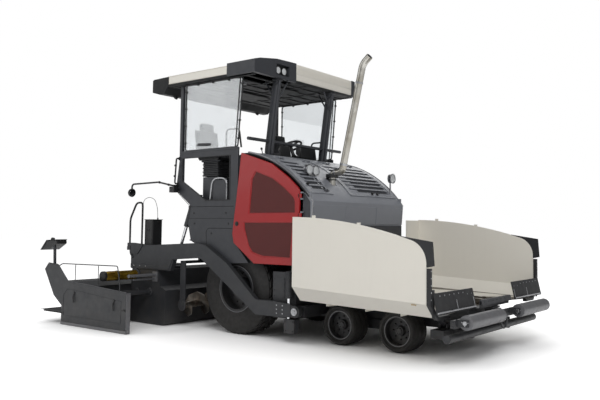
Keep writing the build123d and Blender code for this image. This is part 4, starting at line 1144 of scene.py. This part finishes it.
# tread plate on the floor with a raised pattern
tread = Shape()
for i in range(12):
    for j in range(22):
        x, y = -1180 + i * 88 + (j % 2) * 30, -560 + j * 52
        if -560 < y < 620:
            angle = 1 if (i + j) % 2 else -1
            tread.grow([(x - 16, y - 6 * angle, PLATFORM), (x - 12, y - 10 * angle, PLATFORM),
                        (x + 16, y + 6 * angle, PLATFORM), (x + 12, y + 10 * angle, PLATFORM),
                        (x, y, PLATFORM + 3)], [(0, 1, 4), (1, 2, 4), (2, 3, 4), (3, 0, 4)])
tread.make("floor_tread", PANEL, bevel=0)
# bent rail and panel beside each seat, and a handrail ahead of it
for side in SIDES:
    y0 = 1125
    piece = Shape(side).tube([(-240, y0, PLATFORM + 5), (-240, y0, 2330), (-560, y0, 2330),
                              (-610, y0, PLATFORM + 5)], 15, 12, bend=120)
    piece.make("seat_rail", BRIGHT, bevel=0)
    piece = Shape(side).prism([(-545, 1990), (-535, 2270), (-500, 2305), (-270, 2305), (-262, 1990)],
                              SIDE_VIEW, y0 - 6, y0 - 12)
    piece.make("seat_side_panel", PANEL, bevel=3)
    piece = Shape(side).tube([(-330, y0 - 60, 2790), (-330, y0 - 60, 3080), (-60, y0 - 60, 3080),
                              (-10, y0 - 60, 2790)], 14, 12, bend=70)
    piece.make("cab_handrail", PLASTIC, bevel=0)


# ================= Seats =================
def cushion(name, centre, size, lean, crown, body="machine"):
    """Padded form whose faces crown and whose sides draw in between the corners, then inflated as cloth."""
    half = [s / 2 for s in size]
    count = 12
    turn = Matrix.Rotation(math.radians(lean), 3, "Y")
    box = bmesh.new()
    bmesh.ops.create_cube(box, size=2)
    bmesh.ops.subdivide_edges(box, edges=box.edges, cuts=count, use_grid_fill=True)
    for vert in box.verts:
        a, b, c = vert.co
        thick = 1 - 0.16 * (abs(a) ** 5 + abs(b) ** 5) / 2
        draw_in = 1 - 0.03 * (math.cos(a * math.pi / 2) + math.cos(b * math.pi / 2)) / 2
        swell = crown / half[2] * (1 - a * a) * (1 - b * b)
        channel = -5 / half[2] * sum(math.exp(-((b - place) / 0.03) ** 2)
                                     for place in (-0.55, 0.55)) * (1 - a**6)
        vert.co = Vector((a * half[0] * draw_in, b * half[1] * draw_in,
                          c * half[2] * (thick + swell + channel)))
    verts = [at(*(Vector(centre) + turn @ v.co)) for v in box.verts]
    box.verts.ensure_lookup_table()
    faces = [tuple(v.index for v in f.verts) for f in box.faces]
    box.free()
    piece = build_mesh(name, verts, faces, CLOTH)
    inflate(piece, 0.022)
    soften = piece.modifiers.new("soft", "SUBSURF")
    soften.levels = soften.render_levels = 1
    piece.data.shade_smooth()
    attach(piece, body)
    return piece


def inflate(piece, reach):
    """Cloth under light air pressure, with each point's movement capped, then applied to the mesh."""
    scene = bpy.context.scene
    rest = [v.co.copy() for v in piece.data.vertices]
    cloth = piece.modifiers.new("inflate", "CLOTH")
    cloth.settings.quality = 5
    cloth.settings.mass = 0.3
    cloth.settings.tension_stiffness = cloth.settings.compression_stiffness = 25
    cloth.settings.bending_stiffness = 2
    cloth.settings.use_pressure = True
    cloth.settings.uniform_pressure_force = 4
    cloth.settings.effector_weights.gravity = 0
    cloth.point_cache.frame_start, cloth.point_cache.frame_end = 1, 20
    for frame_number in range(1, 21):
        scene.frame_set(frame_number)
    shaped = piece.evaluated_get(bpy.context.evaluated_depsgraph_get())
    moved = [v.co.copy() for v in shaped.data.vertices]
    piece.modifiers.remove(cloth)
    scene.frame_set(1)
    for vert, start, end in zip(piece.data.vertices, rest, moved):
        shift = end - start
        if shift.length > reach:
            shift *= reach / shift.length
        vert.co = start + shift


for side_name, side in SIDES.items():
    y = side * 900
    base = cushion(f"seat_cushion_{side_name}", (-680, y, 2690), (430, 410, 96), -3, 14)
    if side < 0:
        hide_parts("seats")
    cushion(f"seat_back_{side_name}", (-915, y, 2925), (88, 400, 400), -8, 8)
    cushion(f"seat_headrest_{side_name}", (-950, y, 3172), (70, 250, 120), -8, 5)
    for arm_side in (-1, 1):
        cushion(f"seat_armrest_{side_name}_{'outer' if arm_side == side else 'inner'}",
                (-700, y + arm_side * 262, 2860), (300, 52, 44), 2, 3)
    shell = Shape().prism([(-885, 2625), (-470, 2615), (-450, 2655), (-470, 2662), (-865, 2668), (-925, 2740),
                           (-985, 3120), (-1005, 3118), (-960, 2720)], SIDE_VIEW, y - 205, y + 205)
    for arm_side in (-1, 1):
        shell.tube([(-900, y + arm_side * 215, 2700), (-905, y + arm_side * 262, 2838),
                    (-560, y + arm_side * 262, 2836)], 12, 10, bend=40)
    for shift in (-50, 50):
        shell.tube([(-960, y + shift, 3080), (-968, y + shift, 3170)], 8, 8)
    shell.make(f"seat_shell_{side_name}", PLASTIC, bevel=8, segments=2)
    folds = Shape()
    for index in range(8):
        z, wide = 2370 + index * 29, 6 * (index % 2)
        folds.box((-850 + wide, -500 - wide), (y - 165 + wide, y + 165 - wide), (z, z + 27))
    folds.make(f"seat_bellows_{side_name}", TRIM, bevel=8, segments=2)
    stand = Shape().box((-850, -500), (y - 150, y + 150), (1920, 2362))
    stand.box((-880, -470), (y - 190, y + 190), (1920, 1950))
    for shift in (-150, 150):
        stand.box((-880, -460), (y + shift - 14, y + shift + 14), (2600, 2622))
    stand.make(f"seat_stand_{side_name}", PANEL, bevel=6, segments=2)
    piping = Shape()
    corners = [(-890, y - 203, 2655), (-470, y - 203, 2650), (-470, y + 203, 2650), (-890, y + 203, 2655)]
    piping.tube(corners, 4, 6, bend=30, closed=True)
    piping.make(f"seat_piping_{side_name}", PLASTIC, bevel=0)


# ================= Hopper =================
for side in SIDES:
    body = "wing"
    floor_plate = Shape(side)
    corners = ((1540, 650, 615), (3470, 650, 615), (3470, 1482, 582), (1540, 1482, 645))
    verts = [(x, y, z + lift) for lift in (1, 4) for x, y, z in corners]
    floor_plate.slab(verts)
    floor_plate.make("wing_floor", WORN, body, bevel=0.8, segments=1)
    nubs = Shape(side)
    for x, z in ((1854, 1722), (2545, 1632)):
        nubs.box((x - 26, x + 26), (1654, 1666), (z - 20, z + 20))
        nubs.disc((x, 1666, z + 8), OUT, 7, 5, steps=12)
    nubs.make("wing_nubs", CREAM, body, bevel=2)
    slot = Shape(side).ring([(3275, 716), (3335, 712), (3335, 722), (3275, 726)], [(3280, 718), (3330, 714.5),
                                                                                   (3330, 719.5),
                                                                                   (3280, 723)], SIDE_VIEW,
                            1655, 1664)
    slot.make("wing_slot", ZINC, body, bevel=0.5, segments=1)
    strip_bolts = Shape(side)
    for z in (790, 870, 950, 1030, 1110):
        strip_bolts.disc((3529, 1662, z), AHEAD, 9, 6, steps=12)
    for y in range(680, 1620, 118):
        strip_bolts.disc((3553, y, 800 if y < 900 else 826), (1, 0, 0.19), 9, 6, steps=12)
    strip_bolts.make("apron_bolts", BRIGHT, body, bevel=0.8, segments=1)
    lower = Shape(side)
    lower.prism([(3592, 634), (3604, 634), (3602, 652), (3590, 652)], SIDE_VIEW, 640, 1632)
    for y in (640, 1100):
        lower.prism([(3586, 655), (3592, 655), (3570, 760), (3564, 760)], SIDE_VIEW, y, y + 20)
    lower.make("apron_edge", BRIGHT, body, bevel=1.2, segments=1)
    # ribs under the wing's floor
    rear = Shape(side)
    for x in (1900, 2500, 3000):
        drop = (x - 1510) / 2040
        rear.prism([(700, 596 - 6 * drop), (1440, 622 - 62 * drop), (1440, 590 - 62 * drop),
                    (760, 560 - 6 * drop)], FRONT_VIEW, x, x + 12)
    rear.make("wing_ribs", CREAM, body, bevel=2)

middle_flap = Shape().prism([(3588, 690), (3596, 690), (3604, 630), (3596, 630)], SIDE_VIEW, -470, 470)
middle_flap.bolts([(3597, y, 672) for y in range(-390, 391, 130)], (1, 0, 0.13), 14, 7)
middle_flap.box((3560, 3590), (-460, 460), (676, 700))
middle_flap.make("centre_flap", PANEL, bevel=2)
piece = Shape().box((3380, 3566), (-460, 460), (590, 597))
piece.box((3560, 3570), (-460, 460), (590, 690))
piece.make("centre_tray", PANEL, bevel=2)

chain = Shape()
for y in (-545, -75, 75, 545):
    for index in range(78):
        x = -930 + index * 55
        if index % 2:
            chain.box((x, x + 50), (y - 13, y + 13), (617, 636))
        else:
            chain.box((x, x + 50), (y - 24, y - 15), (615, 638))
            chain.box((x, x + 50), (y + 15, y + 24), (615, 638))
chain.make("conveyor_chain", WORN, bevel=0)


# ================= Push beam =================
for side in SIDES:
    body = "push_roller"
    ends = Shape(side)
    for y in (301, 1269):
        direction = -1 if y < 700 else 1
        ends.turned([(20, 0), (80, 0), (86, -4), (86, -26), (84, -26), (82, -30), (20, -30)],
                    (ROLLER_X, y - direction, ROLLER_Z), (0, direction, 0), 48)
    for y in (470, 785, 1100):
        ends.band(84, 86.5, -3, 3, (ROLLER_X, y, ROLLER_Z), OUT, 48)
    ends.make("roller_ends", ROLLER, body, bevel=0.8, segments=1)
    caps = Shape(side)
    for y in (1304, 264):
        direction = 1 if y > 700 else -1
        caps.disc((ROLLER_X, y, ROLLER_Z), (0, direction, 0), 26, 8, steps=24)
        for index in range(3):
            angle = index * 2.094 + 0.5
            caps.disc((ROLLER_X + 44 * math.cos(angle), y - direction * 2, 510 + 26 * math.sin(angle)),
                      (0, direction, 0), 7, 6, steps=6)
    for y in range(360, 1300, 180):
        caps.disc((3660, y, 492), AHEAD, 11, 7, steps=6)
    caps.make("beam_bolts", BRIGHT, "push_beam", bevel=0.6, segments=1)
    # built in place: mirrored, the bevel on its bolt heads comes out 0.05 mm different
    sign = SIDES[side]
    end_plate = Shape().box((3601, 3664), sorted((sign * 1326, sign * 1340)), (445, 540))
    end_plate.bolts([(3632, sign * 1340, z) for z in (466, 518)], (0, sign, 0), 18, 8)
    end_plate.make(f"beam_end_{side}", STEEL, "push_beam", bevel=2)
piece = Shape().box((3659, 3663), (-1300, 1300), (446, 452))
piece.box((3659, 3663), (-1300, 1300), (532, 538))
piece.make("beam_flanges", STEEL, "push_beam", bevel=1)


# ================= Chassis trim =================
for side in SIDES:
    pin = Shape(side).disc(TOW_PIN, OUT, 52, 9, steps=32)
    pin.turned([(0.01, 8), (28, 8), (28, 17), (20, 20), (0.01, 20)], TOW_PIN, OUT, 28)
    pin.bolts(bolt_circle(1250, 1307, 440, 38, 4, 0.6), OUT, 10, 5)
    pin.make("tow_pin_cap", BRIGHT, bevel=0.8, segments=1)
    level = Shape(side)
    axis_y = 1245
    for z in (640, 720, 860, 940):
        level.band(45.5, 54, -8, 8, (1110, axis_y, z), UP, 32)
    level.turned([(20, 0), (49, 0), (49, 12), (40, 22), (20, 22)], (1110, axis_y, 960), UP, 32)
    level.box((1072, 1148), (1178, 1200), (585, 660))
    level.make("level_cylinder_rings", STEEL, bevel=1.2, segments=1)
    Shape(side).tube([(1110, axis_y, 612), (1110, axis_y, 335)], 22, 20).make("level_rod", CHROME, bevel=0)
    guide_bolts = Shape(side).bolts([(x, 1176, z) for x in (790, 970) for z in (620, 700, 780, 860)], OUT, 20,
                                    9)
    guide_bolts.bolts([(x, 1290, z) for x in (1085, 1215) for z in (170, 300)], OUT, 20, 9)
    guide_bolts.box((780, 980), (1174, 1180), (600, 880))
    guide_bolts.make("guide_plate_bolts", STEEL, bevel=1, segments=1)
    lamp_low = Shape(side).box((3492, 3532), (548, 594), (322, 392))
    lamp_low.make("nose_bracket", STEEL, bevel=4)
piece = Shape().bolts([(3260, y, z) for y in range(-800, 801, 200) for z in (245, 305)], AHEAD, 18, 8)
piece.make("cross_beam_bolts", STEEL, bevel=0.8, segments=1)


# ================= Tow arms =================
for side in SIDES:
    plates = Shape(side)
    plates.bolts([(x, ARM_FACE, z) for x in (935, 1040) for z in (400, 455, 510)], OUT, 22, 10)
    plates.bolts([(x, ARM_FACE, 930) for x in (-2200, -2050, -1900)], OUT, 24, 10)
    plates.make("arm_bolts", BRIGHT if side == "right" else STEEL, "screed", bevel=0.8, segments=1)
    outline = [(-2290, 890), (-1340, 890), (-1250, 1070), (-1300, 1085), (-1370, 960), (-2290, 960)]
    gusset = Shape(side).prism(outline, SIDE_VIEW, ARM_FACE, ARM_FACE + 8)
    gusset.prism([(890, 352), (890, 558), (1180, 540), (1180, 360)], SIDE_VIEW, ARM_FACE, ARM_FACE + 7)
    gusset.prism([(-2296, 1120), (-2296, 1298), (-1980, 1276), (-2120, 1120)], SIDE_VIEW, ARM_FACE,
                 ARM_FACE + 10)
    gusset.make("arm_gussets", STEEL, "screed", bevel=2)
    flange = Shape(side)
    top_line = [(-1860, 1270), (-670, 1330), (-510, 1300), (-60, 1050), (530, 555), (880, 560)]
    flange.tube([(x, ARM_FACE - 2, z - 3) for x, z in top_line], 5, 8, bend=60)
    flange.make("arm_weld", STEEL, "screed", bevel=0)
    box_face = 1216
    cabinet = Shape(side)
    cabinet.box((-2040, -1860), (box_face, box_face + 4), (1270, 1680))
    cabinet.disc((-1985, box_face + 3, 1520), OUT, 16, 9, steps=20)
    cabinet.disc((-1925, box_face + 3, 1520), OUT, 16, 9, steps=20)
    cabinet.disc((-1950, box_face + 3, 1600), OUT, 22, 6, steps=20)
    cabinet.box((-2056, -1844), (1005, 1220), (1684, 1694))
    cabinet.make("cabinet_trim", PLASTIC, "screed", bevel=2, segments=1)
    hoop = Shape(side).tube([(-2064, 1250, 1900), (-2056, 1240, 2020), (-1960, 1200, 2066),
                             (-1880, 1150, 2020), (-1860, 1110, 1880), (-1862, 1100, 1690)], 4, 8, bend=80)
    hoop.disc((-1862, 1100, 1690), UP, 12, 30, 6, steps=16)
    hoop.make("cabinet_hoop", PLASTIC, "screed", bevel=0)
    foot = Shape(side)
    for x in (-2070, -2385):
        foot.disc((x, 1250, 1280), UP, 28, 10, steps=24)
    foot.box((-2400, -2340), (1205, 1296), (1180, 1240))
    foot.tube([(-2320, 1296, 1250), (-2300, 1296, 1120), (-2240, 1296, 1060)], 14, 10, bend=30)
    foot.make("rail_feet", STEEL, "screed", bevel=3)


# ================= Screed =================
walk = Shape()
for i in range(14):
    for j in range(44):
        x, y = -2250 + i * 44 + (j % 2) * 14, -1250 + j * 58
        if x < -1640:
            walk.box((x, x + 26), (y, y + 6), (SCREED_TOP, SCREED_TOP + 2.5))
walk.make("screed_walkway", STEEL, "screed", bevel=0)
for side in SIDES:
    end = 1275
    caps = Shape(side)
    for x, z in ((-1800, 520), (-2120, 500)):
        caps.turned([(36.5, 0), (62, 0), (62, 16), (52, 24), (36.5, 24)], (x, end, z), OUT, 36)
    caps.turned([(75.5, 0), (104, 0), (104, 14), (92, 24), (75.5, 24)], (WIDTH_X, end, WIDTH_Z), OUT, 36)
    caps.bolts(bolt_circle(WIDTH_X, end + 12, WIDTH_Z, 91, 6), OUT, 12, 12)
    caps.make("guide_collars", STEEL, "screed", bevel=1.5, segments=1)
    piece = Shape(side).band(75.4, 77.5, -70, 70, (WIDTH_X, 1750, WIDTH_Z), OUT, 40)
    piece.make("width_cylinder_band", ZINC, "screed", bevel=0)
    cap = Shape(side).turned([(76, -40), (80, -40), (80, 4), (66, 12), (0.01, 12), (0.01, -2), (76, -2)],
                             (WIDTH_X, 1925, WIDTH_Z), OUT, 40)
    cap.band(75.5, 82, -9, 9, (WIDTH_X, 1660, WIDTH_Z), OUT, 40)
    cap.make("width_cylinder_cap", PLASTIC, "screed", bevel=1, segments=1)
    tubes = Shape(side)
    tubes.tube([(-1660, end - 6, 800), (-1660, 1800, 800)], 24, 16)
    tubes.tube([(-1700, end - 6, 735), (-1700, 1690, 735)], 15, 14)
    tubes.disc((-1660, 1800, 800), OUT, 30, 16, steps=24)
    tubes.box((-1740, -1620), (end, end + 10), (690, 850))
    tubes.make("screed_side_tubes", ROLLER, "screed", bevel=1.2, segments=1)
    boxes = Shape(side)
    boxes.box((-2240, -1900), (500, 1000), (SCREED_TOP, SCREED_TOP + 70))
    boxes.box((-1850, -1700), (620, 880), (SCREED_TOP, SCREED_TOP + 46))
    boxes.make("screed_boxes", PANEL, "screed", bevel=10)
    body = "screed_extension"
    field = [(-1330, 150), (-1330, 470), (-2560, 560), (-2700, 560), (-2790, 480), (-2790, 150)]
    piece = Shape(side).ring(inset(field, -22), field, SIDE_VIEW, END_PLATE - 1, END_PLATE + 4)
    piece.make("end_plate_field", STEEL, body, bevel=1)
    piece = Shape(side).prism([(-1190, 596), (-2560, 686), (-2560, 640), (-1190, 540)], SIDE_VIEW,
                              END_PLATE - 1, END_PLATE + 5)
    piece.make("end_plate_cap", STEEL, body, bevel=1.5)
    edge = Shape(side).tube([(-1196, 2193, 603), (-2560, 2193, 692), (-2690, 2193, 702), (-2975, 2193, 950)],
                            4, 8)
    edge.prism([(-1182, 10), (-1178, 10), (-1178, 596), (-1182, 596)], SIDE_VIEW, 2132, 2206)
    edge.make("end_plate_edge", ROLLER, body, bevel=0)
    latches = Shape(side)
    for x, z in ((-1480, 470), (-2500, 520)):
        latches.tube([(x, END_PLATE, z), (x - 14, END_PLATE + 16, z - 60), (x + 6, END_PLATE + 16, z - 150)],
                     9, 10, bend=24)
        latches.disc((x, END_PLATE + 2, z), OUT, 20, 9, steps=20)
    latches.bolts([(-1189 - 3, 2195, z) for z in (120, 300, 480)], OUT, 16, 6)
    latches.tube([(-1200, 2200, 330), (-1235, 2212, 352), (-1285, 2204, 338)], 7, 8, bend=14)
    latches.make("end_plate_latches", PLASTIC, body, bevel=0)
    runner = Shape(side).prism([(-1180, 4), (-1130, 60), (-1180, 60)], SIDE_VIEW, END_PLATE - 14,
                               END_PLATE - 2)
    runner.box((-2850, -1185), (END_PLATE, END_PLATE + 8), (4, 46))
    runner.make("end_plate_runner", ROLLER, body, bevel=1.5)
    grating = Shape(side)
    for index in range(36):
        y = 985 + index * 34
        grating.box((-3455, -2785), (y, y + 5), (194, 201))
    for x in range(-3450, -2780, 74):
        grating.box((x, x + 8), (965, 2190), (194, 199))
    grating.make("footboard_grating", STEEL, body, bevel=0)
    hand = Shape(side)
    for x in (-2500, -1900):
        hand.tube([(x, 2192, 974 - (x + 1429) * -0.0125), (x, 2192, 640 - (x + 1180) * 0.065)], 6, 8)
    hand.disc((-3120, 2170, 940), UP, 44, 14, steps=24)
    hand.turned([(0.01, -34), (26, -28), (36, 0), (26, 28), (0.01, 34)], (-3300, 2110, 1345),
                (0, 0.2 * SIDES[side], 1), 24)
    hand.make("rail_stays", PLASTIC, body, bevel=0, sharp=50)
    board = Shape(side)
    tilt = Vector((-0.68, 0, 0.73))
    for column in range(4):
        for row in range(3):
            place = Vector((-3460 + column * 38, 2035 + row * 60, 1222 + column * 35))
            board.disc(place, tilt, 11, 9, steps=14)
    board.make("panel_switches", ROLLER, body, bevel=0)
    piece = Shape(side).prism([(-3508, 1176), (-3340, 1338), (-3050, 1353), (-3046, 1343), (-3337, 1328),
                               (-3500, 1168)], SIDE_VIEW, 2004, 2206)
    piece.make("panel_hood", PLASTIC, body, bevel=3)


# ================= Augers =================
for side in SIDES:
    body = "auger"
    ends = Shape(side)
    for y in (58, 1172):
        ends.band(45.5, 70, -6, 6, (AUGER_X, y, AUGER_Z), OUT, 32)
    for index in range(7):
        y = 130 + index * 160
        ends.band(45.3, 52, -22, 22, (AUGER_X, y, AUGER_Z), OUT, 28)
    ends.make("auger_collars", WORN, body, bevel=1, segments=1)
    piece = Shape(side).disc((AUGER_X, 1196, AUGER_Z), OUT, 86, 18, 6, steps=32)
    piece.bolts(bolt_circle(AUGER_X, 1212, AUGER_Z, 66, 6), OUT, 16, 8)
    piece.make("auger_bearing", STEEL, bevel=1.5, segments=1)


# ================= Studio =================
low, high = cad_bounds


def floor_material():
    """Pale floor that glows to white for the camera and in reflections; ambient occlusion darkens the glow
    under the object, a painted shadow on top of its real cast shadow.
    """
    t = Tree("studio_floor")
    t.put(t.shader, "Base Color", t.blend(t.noise(0.8, 2), (0.86, 0.86, 0.86, 1), (0.9, 0.9, 0.9, 1)))
    t.put(t.shader, "Roughness", 0.9)
    rays = t.add("LightPath").outputs
    seen = t.maths("MAXIMUM", t.maths("MAXIMUM", rays["Is Camera Ray"], rays["Is Glossy Ray"]),
                   rays["Is Transmission Ray"])
    t.put(t.shader, "Emission Color", (1, 1, 1, 1))
    # ambient occlusion darkens the floor's glow beneath the machine: painted shadow
    open_sky = t.add("AmbientOcclusion", {"samples": 8}, Distance=2.4).outputs["AO"]
    glow_with_painted_shadow = t.maths("MULTIPLY", t.maths("POWER", open_sky, 1.8), 0.8)
    t.put(t.shader, "Emission Strength", t.maths("MULTIPLY", seen, glow_with_painted_shadow))
    return t.material


floor = build_mesh("floor", [(-60, -60, 0), (60, -60, 0), (60, 60, 0), (-60, 60, 0)], [(0, 1, 2, 3)],
                   floor_material())
floor.location.z = -0.001

world = bpy.data.worlds.new("studio")
bpy.context.scene.world = world
world.use_nodes = True
sky = world.node_tree
background = sky.nodes["Background"]
rays = sky.nodes.new("ShaderNodeLightPath")
seen = sky.nodes.new("ShaderNodeMath")
seen.operation = "MAXIMUM"
sky.links.new(rays.outputs["Is Camera Ray"], seen.inputs[0])
sky.links.new(rays.outputs["Is Transmission Ray"], seen.inputs[1])
strength = sky.nodes.new("ShaderNodeMapRange")
strength.inputs["To Min"].default_value = 0.26
strength.inputs["To Max"].default_value = 1.0
sky.links.new(seen.outputs[0], strength.inputs["Value"])
sky.links.new(strength.outputs[0], background.inputs["Strength"])
background.inputs["Color"].default_value = (1, 1, 1, 1)

LAMPS = {  # name: (place, size, watts)
    "key": ((9.0, -9.0, 11.0), 7.0, 1050),
    "fill": ((-9.0, -10.0, 7.0), 9.0, 330),
    "back": ((-4.0, 11.0, 9.0), 8.0, 420),
}
for name, (place, size, watts) in LAMPS.items():
    data = bpy.data.lights.new(name, "AREA")
    data.size, data.energy = size, watts
    lamp = bpy.data.objects.new(name, data)
    lamp.location = place
    lamp.rotation_euler = (Vector((0, 0, 1.2)) - Vector(place)).to_track_quat("-Z", "Y").to_euler()
    bpy.context.scene.collection.objects.link(lamp)


# ================= Camera =================
AZIMUTH, PITCH, ROLL = math.radians(37.225), math.radians(3.844), math.radians(0.487)
FOCAL = 691.456               # in units of the picture's width of 600
EYE = at(7264, -8623, 1609)
ahead = Vector((-math.sin(AZIMUTH) * math.cos(PITCH), math.cos(AZIMUTH) * math.cos(PITCH), math.sin(PITCH)))
right = Vector((math.cos(AZIMUTH), math.sin(AZIMUTH), 0))
up = right.cross(ahead)
right, up = (right * math.cos(ROLL) + up * math.sin(ROLL), up * math.cos(ROLL) - right * math.sin(ROLL))
camera = bpy.data.objects.new("camera", bpy.data.cameras.new("camera"))
camera.data.sensor_width = 36.0
camera.data.lens = FOCAL / 600 * 36.0
camera.data.shift_x, camera.data.shift_y = -21.532 / 600, -20.581 / 600
camera.matrix_world = Matrix(((right.x, up.x, -ahead.x, EYE.x), (right.y, up.y, -ahead.y, EYE.y),
                              (right.z, up.z, -ahead.z, EYE.z), (0, 0, 0, 1)))
bpy.context.scene.collection.objects.link(camera)
bpy.context.scene.camera = camera
bpy.context.scene.view_settings.view_transform = "Standard"
